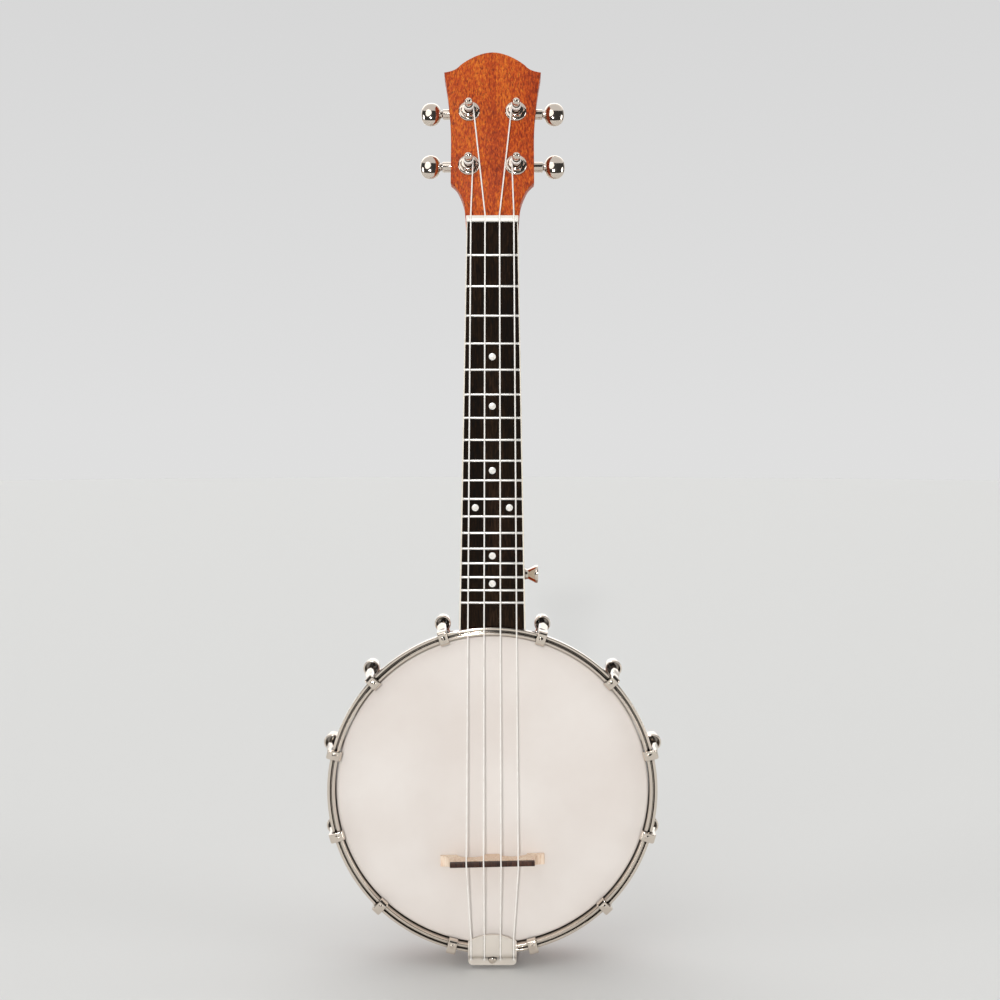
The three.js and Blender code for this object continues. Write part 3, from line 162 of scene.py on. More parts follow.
# Tuning machines. A post's place is its side and its distance along the headstock
POST_SPREAD, LOWER_POST, UPPER_POST = 15.5, 37.0, 76.2
POST_PLACES = ((-1, LOWER_POST), (-1, UPPER_POST), (1, UPPER_POST), (1, LOWER_POST))
WASHER_RADIUS, WASHER_FRONT, WASHER_BACK = 7.2, -1.3, -0.3
BUSHING_FLATS, BUSHING_FRONT, BUSHING_BACK = 10.0, -3.7, 9.8
SLEEVE_RADIUS, BUSHING_BORE = 4.3, 3.25
POST_RADIUS, POST_WAIST, POST_SHOULDER, POST_ROUND = 2.9, 2.1, -5.2, 0.35
BALL_RADIUS, BALL_CENTRE, STRING_HOLE = 2.7, -12.0, 0.6
GEAR_DEPTH, GEAR_DISTANCE = 19.8, 8.6
CASE_FRONT, CASE_BACK, CASE_HALF, CASE_BELOW, CASE_ABOVE = 14.3, 25.3, 8.4, 8.6, 13.5
CASE_CORNER, CASE_EDGE, CASE_CROWN = 3.0, 1.8, 0.7
EAR_HALF, EAR_BACK, EAR_END, EAR_EDGE = 3.2, 16.9, 14.0, 0.4
SCREW_RADIUS, SCREW_RISE, SCREW_TURN, SCREW_STEM, SCREW_REACH = 2.2, 1.2, 1.5, 1.1, 6
SCREW_SLOT_HALF, SCREW_SLOT_REACH, SCREW_SLOT_FLOOR = 0.25, 1.3, 0.6
BARREL_RADIUS, BARREL_REACH, BARREL_ROUND = 3.5, 33.8, 0.5
COLLAR_RADIUS, COLLAR_LENGTH, COLLAR_ROUND, COLLAR_BITE = 2.6, 0.8, 0.3, 2.5
BUTTON_START, BUTTON_LENGTH, BUTTON_HEIGHT, BUTTON_THICKNESS = 34.9, 13.7, 17.0, 8.0
BUTTON_POWER = 0.9
WORM_TEETH, WORM_PITCH_RADIUS, WHEEL_PITCH_RADIUS = 15, 2.6, 6.0
TOOTH_RISE, TOOTH_FALL, WHEEL_THICKNESS, WORM_TURNS = 0.5, 0.8, 4.0, 3
TOOTH_ROOT_HALF, TOOTH_TIP_HALF = 0.86, 0.275
WORM_PITCH = 2 * pi * WHEEL_PITCH_RADIUS / WORM_TEETH
WORM_HALF = WORM_TURNS * WORM_PITCH / 2
WORM_SHAFT, WORM_TAIL, POST_TAIL, POST_BOTTOM = 1.7, 2.0, 1.8, 23.7
WORM_BITE, WORM_END, SHAFT_BITE = 0.2, 0.75, 3
# Room in the case round the wheel, the worm and their shafts, and the wall behind the post
WHEEL_ROOM, WHEEL_ROOM_HALF, WORM_ROOM, SHAFT_ROOM, CASE_WALL = 0.6, 2.3, 0.5, 0.4, 1.3

# Bridge
BRIDGE_PLACE, BRIDGE_SKEW = -44.2, -1.3
BRIDGE_FEET, BRIDGE_BASE_TOP, BRIDGE_CAP_BACK, BRIDGE_TOP = -0.3, -13.7, -14.0, -16.9
BRIDGE_HALF, BRIDGE_TOP_HALF, BRIDGE_CAP_HALF = 34.0, 27.7, 27.3
BRIDGE_FRONT, BRIDGE_CAP_FRONT, BRIDGE_FOOT_DEPTH = 2.0, 1.6, 7.0
BRIDGE_FOOT_RISE, BRIDGE_ARCH = 2.2, 6.4
BRIDGE_OUTER_FOOT, BRIDGE_MIDDLE_FOOT = 11.0, 9.0
BRIDGE_CAP_ROUND, NOTCH_HALF, NOTCH_DEPTH = 0.25, 0.75, 0.9

# Strings
STRING_RADIUS, STRING_BEND = 0.48, 0.9
KNOT_RADIUS, KNOT_COIL, KNOT_STRAND, KNOT_PITCH = 0.8, 0.5, 0.3, 0.45
OUTER_AT = {"nut": 13.9, "bridge": 16.7, "tail": 13.9}
INNER_AT = {"nut": 4.7, "bridge": 5.6, "tail": 5.2}
STRING_AT_BRIDGE, STRING_AT_NUT, STRING_AT_TAIL = -16.7, -2.0, -9.1
KNOT_DEPTH, KNOT_PLACE = -5.8, -110.5
PLATE_BACK_BEND, PLATE_FRONT_BEND = -107.0, -95.6
WINDING_RADIUS, WINDING_START, WINDING_PITCH, WINDING_TURNS = 2.8, -5.9, 1.3, 2.5

# Fineness of the smooth surfaces, the share of a side that its rounded corner may take, and the
# distance at which places are merged
RING_SIDES, PART_SIDES, SMALL_SIDES, TURN_STEPS = 240, 72, 48, 32
CORNER_SHARE = 0.45
MERGE = 1e-4

ACROSS = Vector((1, 0, 0))


def turned(degrees, axis):
    return Matrix.Rotation(radians(degrees), 4, axis)


def shifted(x, y, z):
    return Matrix.Translation((x, y, z))


neck_in_pot = shifted(0, -BOARD_RISE, BOARD_END) @ turned(NECK_ANGLE, "X")
head_in_neck = shifted(0, NECK_TOP, HEAD_START) @ turned(HEAD_ANGLE, "X")
head_in_pot = neck_in_pot @ head_in_neck
bridge_in_pot = shifted(0, 0, BRIDGE_PLACE) @ turned(BRIDGE_SKEW, "Y")
yoke = head_in_pot @ Vector((0, HEAD_THICKNESS / 2, YOKE_LENGTH))
POT = Matrix.Scale(MM, 4) @ Matrix.Translation(-yoke)
TAIL = POT @ turned(180, "Y")
NECK = POT @ neck_in_pot
HEAD = POT @ head_in_pot
BRIDGE = POT @ bridge_in_pot


def string_places(at):
    return -OUTER_AT[at], -INNER_AT[at], INNER_AT[at], OUTER_AT[at]


def between(first, second, share):
    return first + (second - first) * share


def clamped(share):
    return min(max(share, 0), 1)


def signed_power(value, power):
    return copysign(abs(value) ** power, value)


def arc(whole, count):
    """Equal turns from zero to the whole, with both ends."""
    return [whole * i / count for i in range(count + 1)]


def circle(count):
    return arc(2 * pi, count)[:-1]


# Shapes are pairs: a list of places and a list of faces


def moved(shape, matrix):
    places, faces = shape
    return [matrix @ place for place in places], faces


def put(shape, x, y, z):
    return moved(shape, shifted(x, y, z))


def to_z(shape):
    """Turns a shape's Y axis to Z."""
    return moved(shape, turned(90, "X"))


def to_x(shape):
    """Turns a shape's Y axis to X."""
    return moved(shape, turned(-90, "Z"))


def to_side(shape, side):
    """Turns a shape that points right to the left, where the side is -1."""
    return moved(shape, turned(180, "Z")) if side < 0 else shape


def together(*shapes):
    places, faces = [], []
    for more_places, more_faces in shapes:
        first = len(places)
        places += more_places
        faces += [tuple(first + corner for corner in face) for face in more_faces]
    return places, faces


def loft(rings, ends=True):
    """A surface over rings with the same number of places, with flat ends."""
    count = len(rings[0])
    places = [Vector(place) for ring in rings for place in ring]
    faces = []
    for row in range(len(rings) - 1):
        for i in range(count):
            here, beside = row * count + i, row * count + (i + 1) % count
            faces.append((here, beside, beside + count, here + count))
    if ends:
        last = (len(rings) - 1) * count
        faces.append(tuple(range(count)))
        faces.append(tuple(range(last, last + count)))
    return places, faces


def hexagon(turn):
    """A hexagon's reach at that turn, as a share of the reach of its flats."""
    step = pi / 3
    return 1 / cos((turn + step / 2) % step - step / 2)


def lathe(profile, sides=PART_SIDES, closed=False):
    """Turned about Y, from (radius, along) points. A third value makes the ring a hexagon with
    that radius to its flats' middles, whose corners reach no further than the third value."""
    rings = []
    for radius, along, *limit in profile:
        ring = []
        for turn in circle(sides):
            reach = min(radius * hexagon(turn), limit[0]) if limit else radius
            ring.append((reach * sin(turn), along, reach * cos(turn)))
        rings.append(ring)
    if closed:
        rings.append(rings[0])
    return loft(rings, ends=False)


def rounded(points, reach, steps=4, closed=True):
    """The line with each corner drawn as a curve that starts reach before it."""
    points = [Vector(point) for point in points]
    last = len(points) - 1
    line = []
    for i, corner in enumerate(points):
        if not closed and i in (0, last):
            line.append(corner)
            continue
        before, after = points[i - 1] - corner, points[(i + 1) % len(points)] - corner
        start = corner + before.normalized() * min(reach, CORNER_SHARE * before.length)
        end = corner + after.normalized() * min(reach, CORNER_SHARE * after.length)
        for step in range(steps + 1):
            share = step / steps
            line.append(start.lerp(corner, share).lerp(corner.lerp(end, share), share))
    return line


def ball_line(radius, rise, middle, turns):
    """Points of an ellipse round the axis, from its end at middle - rise."""
    return [(radius * sin(turn), middle - rise * cos(turn)) for turn in turns]


def bolt(radius, front, back, sides=SMALL_SIDES, edge=0, steps=4):
    """A round bar along Y, plain or with round edges."""
    profile = [(0, front), (radius, front), (radius, back), (0, back)]
    return lathe(rounded(profile, edge, steps, False) if edge else profile, sides)


def washer(inner, outer, front, back, edge, sides=SMALL_SIDES):
    """A flat ring about Y with round edges."""
    profile = [(inner, front), (outer, front), (outer, back), (inner, back)]
    return lathe(rounded(profile, edge), sides, True)


def nut_ring(flats, bore, front, back):
    """A hexagon nut with both faces chamfered."""
    half = flats / 2
    face, corner = half * HEX_FACE, half * HEX_CORNER
    return lathe([
        (bore, front), (half, front, face), (half, front + HEX_CHAMFER, corner),
        (half, back - HEX_CHAMFER, corner), (half, back, face), (bore, back),
    ], SMALL_SIDES, True)


def inset(outline, distance):
    """A flat closed outline, moved inwards."""
    count = len(outline)
    edges = [(outline[i - 1], outline[i]) for i in range(count)]
    area = sum(before[0] * here[1] - here[0] * before[1] for before, here in edges)
    inward = 1 if area > 0 else -1
    result = []
    for i, here in enumerate(outline):
        here = Vector(here)
        along = (here - Vector(outline[i - 1])).normalized()
        onward = (Vector(outline[(i + 1) % count]) - here).normalized()
        first, second = Vector((-along.y, along.x)), Vector((-onward.y, onward.x))
        result.append(here + inward * distance * (first + second) / (1 + first.dot(second)))
    return result


def slab(outline, front, back, edge, steps=3):
    """An outline of (x, z) points, made solid from front to back along Y, with round edges."""
    levels = [(edge * (1 - sin(turn)), edge * (1 - cos(turn))) for turn in arc(pi / 2, steps)]
    places = [(trim, front + depth) for trim, depth in levels]
    places += [(trim, back - depth) for trim, depth in reversed(levels)]
    return loft([[(x, y, z) for x, z in inset(outline, trim)] for trim, y in places])


def directions(route):
    """The direction at each place of a route."""
    result = []
    for i in range(len(route)):
        before = route[i] - route[i - 1] if i > 0 else route[1] - route[0]
        after = route[i + 1] - route[i] if i + 1 < len(route) else before
        result.append((before.normalized() + after.normalized()).normalized())
    return result


def tube(route, radius, sides=12):
    route = [Vector(place) for place in route]
    along = directions(route)
    side = along[0].orthogonal().normalized()
    rings = []
    for i, here in enumerate(route):
        if i > 0:
            side = along[i - 1].rotation_difference(along[i]) @ side
        side = (side - side.dot(along[i]) * along[i]).normalized()
        up = along[i].cross(side)
        ways = [cos(turn) * side + sin(turn) * up for turn in circle(sides)]
        rings.append([here + radius * way for way in ways])
    return loft(rings)


def oblong(half_x, half_n, power):
    """A ring between an ellipse (power 2) and a box, as pairs."""
    ring = []
    for i in range(SMALL_SIDES):
        turn = 2 * pi * (i + 0.5) / SMALL_SIDES
        x = half_x * signed_power(cos(turn), 2 / power)
        ring.append((x, half_n * signed_power(sin(turn), 2 / power)))
    return ring


def bar(route, sections):
    """A bar along a route of (y, z) places. Each section is (half width in X, half thickness,
    power)."""
    route = [Vector((0, y, z)) for y, z in route]
    rings = []
    for here, along, section in zip(route, directions(route), sections):
        normal = along.cross(ACROSS)
        rings.append([here + Vector((x, 0, 0)) + n * normal for x, n in oblong(*section)])
    return loft(rings)


def box(low, high):
    (x0, y0, z0), (x1, y1, z1) = low, high
    corners = ((x0, z0), (x1, z0), (x1, z1), (x0, z1))
    return loft([[(x, y, z) for x, z in corners] for y in (y0, y1)])


def string_slots(at, half, low, high):
    """A box through each string's place, between two (y, z) corners."""
    return together(*[box((x - half, *low), (x + half, *high)) for x in string_places(at)])


def mesh_of(name, shape):
    places, faces = shape
    made = bmesh.new()
    corners = [made.verts.new(place) for place in places]
    for face in faces:
        made.faces.new([corners[i] for i in face])
    bmesh.ops.remove_doubles(made, verts=made.verts, dist=MERGE)
    bmesh.ops.dissolve_degenerate(made, edges=made.edges, dist=MERGE / 10)
    bmesh.ops.recalc_face_normals(made, faces=made.faces)
    mesh = bpy.data.meshes.new(name)
    made.to_mesh(mesh)
    made.free()
    return mesh


def new_object(name, data):
    made = bpy.data.objects.new(name, data)
    bpy.context.scene.collection.objects.link(made)
    return made


def combine(operation, body, *tools):
    """The body joined with the tools, or cut by them."""
    whole = new_object("whole", mesh_of("whole", body))
    made = [whole]
    for tool in tools:
        made.append(new_object("tool", mesh_of("tool", tool)))
        step = whole.modifiers.new("step", "BOOLEAN")
        step.operation, step.solver, step.object = operation, "EXACT", made[-1]
    evaluated = whole.evaluated_get(bpy.context.evaluated_depsgraph_get())
    result = evaluated.to_mesh()
    places = [vertex.co.copy() for vertex in result.vertices]
    faces = [tuple(face.vertices) for face in result.polygons]
    evaluated.to_mesh_clear()
    for used in made:
        mesh = used.data
        bpy.data.objects.remove(used)
        bpy.data.meshes.remove(mesh)
    return places, faces


def join(body, *tools):
    return combine("UNION", body, *tools)


def cut(body, *tools):
    return combine("DIFFERENCE", body, *tools)


# Materials


def colour(red, green, blue):
    """A colour from its display values, 0 to 255, as the linear values of a shader."""
    shares = [value / 255 for value in (red, green, blue)]
    linear = [
        share / 12.92 if share <= 0.04045 else ((share + 0.055) / 1.055) ** 2.4 for share in shares
    ]
    return (*linear, 1.0)


class Nodes:
    """Short ways to add shader nodes to a tree."""

    def __init__(self, tree):
        self.tree = tree

    def node(self, kind, inputs=None, **settings):
        """A node, its inputs given as values or as the sockets that feed them."""
        made = self.tree.nodes.new("ShaderNode" + kind)
        for key, value in settings.items():
            setattr(made, key, value)
        for socket, value in (inputs or {}).items():
            if isinstance(value, bpy.types.NodeSocket):
                self.tree.links.new(value, made.inputs[socket])
            else:
                made.inputs[socket].default_value = value
        return made

    def maths(self, operation, *values):
        return self.node("Math", dict(enumerate(values)), operation=operation).outputs["Value"]

    def steps(self, source, low, high, bottom=0.0, top=1.0):
        """A value that goes from bottom to top as the source goes from low to high."""
        ends = {"From Min": low, "From Max": high, "To Min": bottom, "To Max": top}
        return self.node("MapRange", {"Value": source, **ends}).outputs["Result"]


class Finish(Nodes):
    """A material with one Principled shader, and short ways to drive it."""

    def __init__(self, name, base, roughness, metallic=0.0, **more):
        self.material = bpy.data.materials.new(name)
        self.material.use_nodes = True
        super().__init__(self.material.node_tree)
        self.shader = self.tree.nodes["Principled BSDF"]
        values = {"Base Color": base, "Roughness": roughness, "Metallic": metallic}
        for socket, value in {**values, **more}.items():
            self.shader.inputs[socket.replace("_", " ")].default_value = value

    def on_object(self):
        """The place on the object in metres."""
        return self.node("TexCoord").outputs["Object"]

    def noise(self, scale, detail, rough=0.55, distort=0.0, stretch=(1, 1, 1), where=None):
        """Noise over the object, stretched along its axes, or over the places given."""
        if where is None:
            place = self.node("Mapping", {"Vector": self.on_object(), "Scale": stretch})
            where = place.outputs["Vector"]
        inputs = {"Scale": scale, "Detail": detail, "Roughness": rough, "Distortion": distort}
        return self.node("TexNoise", {"Vector": where, **inputs}).outputs["Fac"]

    def ramp(self, source, stops):
        """A colour ramp from (place, colour) stops."""
        made = self.node("ValToRGB", {"Fac": source})
        elements = made.color_ramp.elements
        while len(elements) < len(stops):
            elements.new(0.5)
        for element, (place, shade) in zip(elements, stops):
            element.position, element.color = place, shade
        return made.outputs["Color"]

    def mix(self, share, first, second):
        """A mix of two colours, which are the node's inputs 6 and 7."""
        return self.node("Mix", {0: share, 6: first, 7: second}, data_type="RGBA").outputs[2]

    def drive(self, socket, source):
        self.tree.links.new(source, self.shader.inputs[socket])

    def bump(self, height, depth, strength):
        """Relief of that depth in millimetres."""
        made = self.node("Bump", {"Height": height, "Distance": depth * MM, "Strength": strength})
        self.drive("Normal", made.outputs["Normal"])


def wood(name, tones, coat, roughness, gloss=0.3, shade_streaks=None):
    """Open-pored wood with its grain along Z: broad bands, short flecks and fine dark pores. The
    tones are the deep, the middle and the light one and the pores'. Streaks are painted shade
    across the width: (place in mm across, tone) pairs, where 0.5 is the middle tone and less is
    deeper."""
    deep, middle, light, pore = (colour(*tone) for tone in tones)
    finish = Finish(
        name, middle, roughness, Coat_Weight=coat, Coat_Roughness=0.12, Specular_IOR_Level=gloss
    )
    bands = finish.noise(60, 2.0, 0.5, 0.5, (1, 1, 0.1))
    # Painted shade: tones set across the width, darker where shade falls on the headstock
    if shade_streaks:
        across = finish.node("SeparateXYZ", {"Vector": finish.on_object()}).outputs["X"]
        wander = finish.steps(bands, 0.3, 0.7, -2.5 * MM, 2.5 * MM)
        first, last = shade_streaks[0][0], shade_streaks[-1][0]
        where = finish.steps(finish.maths("ADD", wander, across), first * MM, last * MM)
        stops = [
            ((place - first) / (last - first), (tone, tone, tone, 1)) for place, tone in shade_streaks
        ]
        bands = finish.mix(0.65, bands, finish.ramp(where, stops))
    flecks = finish.noise(850, 4.0, 0.6, 0.2, (1, 1, 0.14))
    pores = finish.noise(1200, 2.0, 0.5, stretch=(1, 1, 0.13))
    both = finish.mix(0.55, bands, flecks)
    tone = finish.ramp(both, [(0.38, deep), (0.5, middle), (0.62, light)])
    holes = finish.steps(pores, 0.52, 0.66, 0.0, 0.7)
    finish.drive("Base Color", finish.mix(holes, tone, pore))
    finish.drive("Roughness", finish.steps(flecks, 0.3, 0.7, roughness - 0.07, roughness + 0.1))
    relief = finish.mix(0.5, finish.steps(pores, 0.52, 0.66, 1.0, 0.0), flecks)
    finish.bump(relief, 0.06, 0.5)
    return finish.material


def metal(name, base, roughness, spread=0.04, streak=None):
    """Plated metal with painted shade: ambient occlusion darkens its colour in crevices, grooves
    and gaps between parts. Its gloss varies a little, with fine brushing where a streak is given."""
    finish = Finish(name, base, roughness, 1.0)
    # Painted shade: near black is mixed into the colour wherever ambient occlusion finds crevices
    # and gaps
    crevice_shade = finish.node("AmbientOcclusion", {"Distance": 3.6 * MM}, samples=8)
    shade = finish.steps(crevice_shade.outputs["AO"], 0.3, 0.78, 0.03, 1.0)
    finish.drive("Base Color", finish.mix(shade, colour(12, 9, 8), base))
    smudges = finish.noise(130, 4.0, 0.6)
    finish.drive("Roughness", finish.steps(smudges, 0.35, 0.65, roughness, roughness + spread))
    lines = finish.noise(2600, 2.0, stretch=streak or (1, 1, 1))
    finish.bump(lines, 0.01 if streak else 0.002, 0.6)
    return finish.material


def film():
    """The frosted coat of the skin: a fine even tooth, and faint clouds."""
    finish = Finish("skin_film", colour(230, 222, 214), 0.5, Specular_IOR_Level=0.4)
    clouds = finish.noise(14, 4.0, 0.5)
    shades = [(0.35, colour(223, 214, 207)), (0.65, colour(231, 224, 218))]
    finish.drive("Base Color", finish.ramp(clouds, shades))
    tooth = finish.noise(3200, 2.0)
    finish.drive("Roughness", finish.steps(tooth, 0.3, 0.7, 0.46, 0.58))
    finish.bump(tooth, 0.02, 0.5)
    return finish.material


def polymer(name, base, shade, roughness, **more):
    """Bone or nylon: near one colour, with a little clouding and a soft relief."""
    finish = Finish(name, base, roughness, **more)
    clouds = finish.noise(180, 3.0)
    finish.drive("Base Color", finish.ramp(clouds, [(0.35, shade), (0.6, base)]))
    finish.bump(clouds, 0.02, 0.3)
    return finish.material


def pearl():
    """The position dots: pale pearl with soft patches."""
    finish = Finish("dot_pearl", colour(236, 232, 226), 0.22, Coat_Weight=0.5, Coat_Roughness=0.08)
    patches = finish.noise(600, 3.0, 0.6, 1.2)
    shades = [
        (0.35, colour(205, 208, 205)), (0.5, colour(240, 236, 228)), (0.68, colour(250, 240, 232)),
    ]
    finish.drive("Base Color", finish.ramp(patches, shades))
    return finish.material


def ply_wood():
    """The rim: thin layers wound round the pot's axis, with their edges showing at the back."""
    finish = Finish("rim_ply", colour(150, 74, 38), 0.38, Coat_Weight=0.4, Coat_Roughness=0.14)
    centre = POT @ Vector((0, 0, 0))
    about = finish.node("VectorMath", {0: finish.on_object(), 1: centre}, operation="SUBTRACT")
    apart = finish.node("SeparateXYZ", {"Vector": about.outputs["Vector"]}).outputs
    flat = finish.node("CombineXYZ", {"X": apart["X"], "Z": apart["Z"]}).outputs["Vector"]
    radius = finish.node("VectorMath", {0: flat}, operation="LENGTH").outputs["Value"]
    angle = finish.maths("ARCTAN2", apart["X"], apart["Z"])
    mean_radius, stretch, layer = 0.1, 0.14, 1.5 * MM
    around = finish.maths("MULTIPLY", angle, mean_radius * stretch)
    unrolled = finish.node("CombineXYZ", {"X": around, "Y": apart["Y"], "Z": radius})
    grain = finish.noise(700, 5.0, 0.6, 0.3, where=unrolled.outputs["Vector"])
    shades = [(0.35, colour(104, 44, 22)), (0.5, colour(142, 66, 34)), (0.66, colour(172, 92, 50))]
    tone = finish.ramp(grain, shades)
    layers = finish.maths("MULTIPLY", radius, 2 * pi / layer)
    seams = finish.steps(finish.maths("SINE", layers), 0.8, 1.0, 0.0, 0.5)
    finish.drive("Base Color", finish.mix(seams, tone, colour(86, 40, 22)))
    finish.bump(grain, 0.04, 0.4)
    return finish.material


def floor_paint():
    finish = Finish("floor_paint", colour(222, 222, 220), 0.9)
    finish.bump(finish.noise(6, 2.0), 0.2, 0.1)
    return finish.material


MAHOGANY = wood(
    "mahogany", [(134, 40, 9), (190, 75, 17), (224, 120, 34), (104, 30, 9)], 0.05, 0.5, gloss=0.2,
    # Painted shade across the neck and headstock: darker at both sides, most on the right, and
    # along a streak just right of the middle
    shade_streaks=[
        (-34, 0.42), (-24, 0.54), (-5, 0.56), (2, 0.36), (8, 0.55), (18, 0.5), (26, 0.38),
        (34, 0.36),
    ],
)
BLACKWOOD = wood(
    "blackwood", [(15, 9, 5), (30, 19, 10), (50, 35, 24), (8, 6, 5)], 0.0, 0.6, gloss=0.05
)
CAP_WOOD = wood("cap_wood", [(38, 20, 13), (64, 36, 24), (98, 60, 44), (20, 11, 8)], 0.05, 0.45)
MAPLE = wood(
    "maple", [(222, 192, 166), (235, 212, 190), (245, 229, 209), (208, 172, 141)], 0.05, 0.5
)
RIM_PLY = ply_wood()
BONE = polymer("bone", colour(241, 237, 230), colour(232, 226, 216), 0.3)
BINDING = polymer("binding", colour(244, 236, 222), colour(232, 222, 204), 0.3, Coat_Weight=0.3)
NYLON = polymer(
    "nylon", colour(250, 246, 240), colour(242, 236, 229), 0.22, Specular_IOR_Level=0.6
)
PEARL = pearl()
FILM = film()
CHROME = metal("chrome", colour(226, 214, 201), 0.05)
NICKEL = metal("nickel", colour(242, 234, 224), 0.36, 0.08, (1, 1, 0.05))
STEEL = metal("steel", colour(196, 196, 198), 0.26, 0.1)
FRET_METAL = metal("fret_metal", colour(246, 243, 238), 0.3, 0.06)


def place_piece(name, shape, matrix, finish, body="root", node=None, sharp=32, bevel=0, bend=None):
    """Adds a piece in the row frame, hangs it on the body that it rides on, and hides the node
    that
    it stands for: the one with its own name, unless another is given. A piece given a bend is
    baked in place instead and rides on no body."""
    mesh = mesh_of(name, shape)
    mesh.transform(matrix)
    mesh.polygons.foreach_set("use_smooth", [True] * len(mesh.polygons))
    mesh.set_sharp_from_angle(angle=radians(sharp))
    mesh.materials.append(finish)
    made = new_object(name, mesh)
    if bevel:
        edge = made.modifiers.new("edge", "BEVEL")
        edge.width, edge.segments, edge.limit_method = bevel * MM, 2, "ANGLE"
        edge.angle_limit = radians(sharp)
    if bend:
        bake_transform(made)
    else:
        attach(made, body)
    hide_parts(node or name)


# The pot


def add_rim():
    inner = RIM_OUTER - RIM_WALL
    profile = rounded([
        (inner, RIM_BACK), (RIM_OUTER, RIM_BACK), (RIM_OUTER, RIM_FRONT),
        (inner + RIM_WALL / 2, RIM_FRONT), (inner, RIM_FRONT + RIM_WALL / 2),
    ], RIM_ROUND)
    reach = (inner - RIM_WALL, RIM_OUTER + RIM_WALL)
    hole = put(to_z(bolt(SHOE_BOLT_RADIUS + PLAY, *reach)), 0, SHOE_MIDDLE, 0)
    spread = [*HOOK_ANGLES, *(-angle for angle in HOOK_ANGLES), 180]
    holes = [moved(hole, turned(angle, "Y")) for angle in spread]
    through = put(to_z(bolt(COORDINATOR_END + PLAY, *reach)), 0, COORDINATOR_DEPTH, 0)
    holes += [through, moved(through, turned(180, "Y"))]
    place_piece("rim", cut(lathe(profile, RING_SIDES, True), together(*holes)), POT, RIM_PLY)


def add_skin():
    outer = rounded([(0, 0), (SKIN_OUTER, 0), (SKIN_OUTER, SKIN_BACK)], SKIN_ROUND, 8, False)
    inner = rounded(
        [(SKIN_INNER, SKIN_BACK), (SKIN_INNER, SKIN_THICKNESS), (0, SKIN_THICKNESS)],
        SKIN_ROUND - SKIN_THICKNESS, 8, False,
    )
    place_piece("head_skin", lathe([*outer, *inner], RING_SIDES), POT, FILM)


def add_hoops():
    flesh = washer(FLESH_INNER, FLESH_OUTER, FLESH_FRONT, FLESH_BACK, FLESH_ROUND, RING_SIDES)
    place_piece("flesh_hoop", flesh, POT, STEEL, "hoop")
    tension = rounded([
        (HOOP_INNER, HOOP_BACK), (HOOP_INNER, HOOP_FRONT), (HOOP_GROOVE_INNER, HOOP_FRONT),
        (HOOP_GROOVE_INNER, HOOP_GROOVE_FLOOR), (HOOP_GROOVE_OUTER, HOOP_GROOVE_FLOOR),
        (HOOP_GROOVE_OUTER, HOOP_RIDGE_FRONT), (HOOP_OUTER, HOOP_RIDGE_FRONT),
        (HOOP_OUTER, HOOP_RIDGE_BACK), (HOOP_FOOT, HOOP_RIDGE_BACK + HOOP_FOOT_STEP),
        (HOOP_FOOT, HOOP_BACK),
    ], HOOP_ROUND, 5)
    place_piece("tension_hoop", lathe(tension, RING_SIDES, True), POT, CHROME, "hoop", sharp=40)


def hook_shape():
    """A claw over the hoop, a flat shank that jogs outwards, and a round rod."""
    claw, claw_half = (CLAW_FRONT + CLAW_BACK) / 2, (CLAW_BACK - CLAW_FRONT) / 2
    route = rounded([
        (LIP_BACK, LIP_PLACE), (claw, LIP_PLACE), (claw, SHANK_PLACE), (JOG_FRONT, SHANK_PLACE),
        (JOG_BACK, ROD_PLACE), (SHANK_BACK, ROD_PLACE), (ROD_BACK, ROD_PLACE),
    ], HOOK_BEND, 6, False)
    sections = []
    for y, z in route:
        quarters = 4 * clamped((z - LIP_PLACE) / (SHANK_PLACE - LIP_PLACE))
        half = between(LIP_THICKNESS / 2, claw_half, min(quarters, 1))
        half += (SHANK_THICKNESS / 2 - claw_half) * max(0, quarters - 3)
        down = clamped((y - JOG_BACK) / (SHANK_BACK - JOG_BACK))
        sections.append((
            between(CLAW_HALF, ROD_RADIUS, down), between(half, ROD_RADIUS, down),
            between(FLAT_POWER, ROUND_POWER, down),
        ))
    boss = lathe([
        (0, -BOSS_RISE), (BOSS_RADIUS / 2, -0.9 * BOSS_RISE), (BOSS_RADIUS, 0), (BOSS_RADIUS, 1),
        (0, 1),
    ], SMALL_SIDES)
    return join(bar(route, sections), put(boss, 0, CLAW_FRONT, BOSS_PLACE))


def shoe_shape():
    """A cup for the rod, its foot on the rim, and the bolt that draws it there."""
    half = (SHOE_BACK - SHOE_FRONT) / 2
    barrel = bolt(SHOE_RADIUS, SHOE_FRONT, SHOE_BACK, PART_SIDES, SHOE_ROUND)
    foot = []
    for narrower, shorter, rise in SHOE_FOOT_STEPS:
        ring = oblong(SHOE_FOOT_HALF - narrower, half - shorter, SHOE_FOOT_POWER)
        foot.append([(x, SHOE_MIDDLE + n, sqrt(SHOE_SEAT ** 2 - x * x) + rise) for x, n in ring])
    flats, depth = SHOE_HEAD_FLATS / 2, SHOE_HEAD_DEPTH
    seat = sqrt((RIM_OUTER - RIM_WALL) ** 2 - flats ** 2) - SHOE_HEAD_GAP
    end = ROD_PLACE - SHOE_RADIUS - seat
    head = lathe([
        (0, -depth), (flats * 0.8, -depth), (flats, -depth, flats * 1.04),
        (flats, HEX_CHAMFER - depth, flats * HEX_CORNER), (flats, 0, flats * HEX_CORNER),
        (SHOE_BOLT_RADIUS, 0), (SHOE_BOLT_RADIUS, end), (0, end),
    ], SMALL_SIDES)
    cup = bolt(SHOE_CUP_RADIUS, SHOE_FRONT - OVER, SHOE_FRONT + SHOE_CUP_DEPTH)
    hole = bolt(ROD_RADIUS + PLAY, SHOE_FRONT, SHOE_BACK + OVER)
    barrel, cup, hole = (put(shape, 0, 0, ROD_PLACE) for shape in (barrel, cup, hole))
    return cut(join(barrel, loft(foot), put(to_z(head), 0, SHOE_MIDDLE, seat)), join(cup, hole))


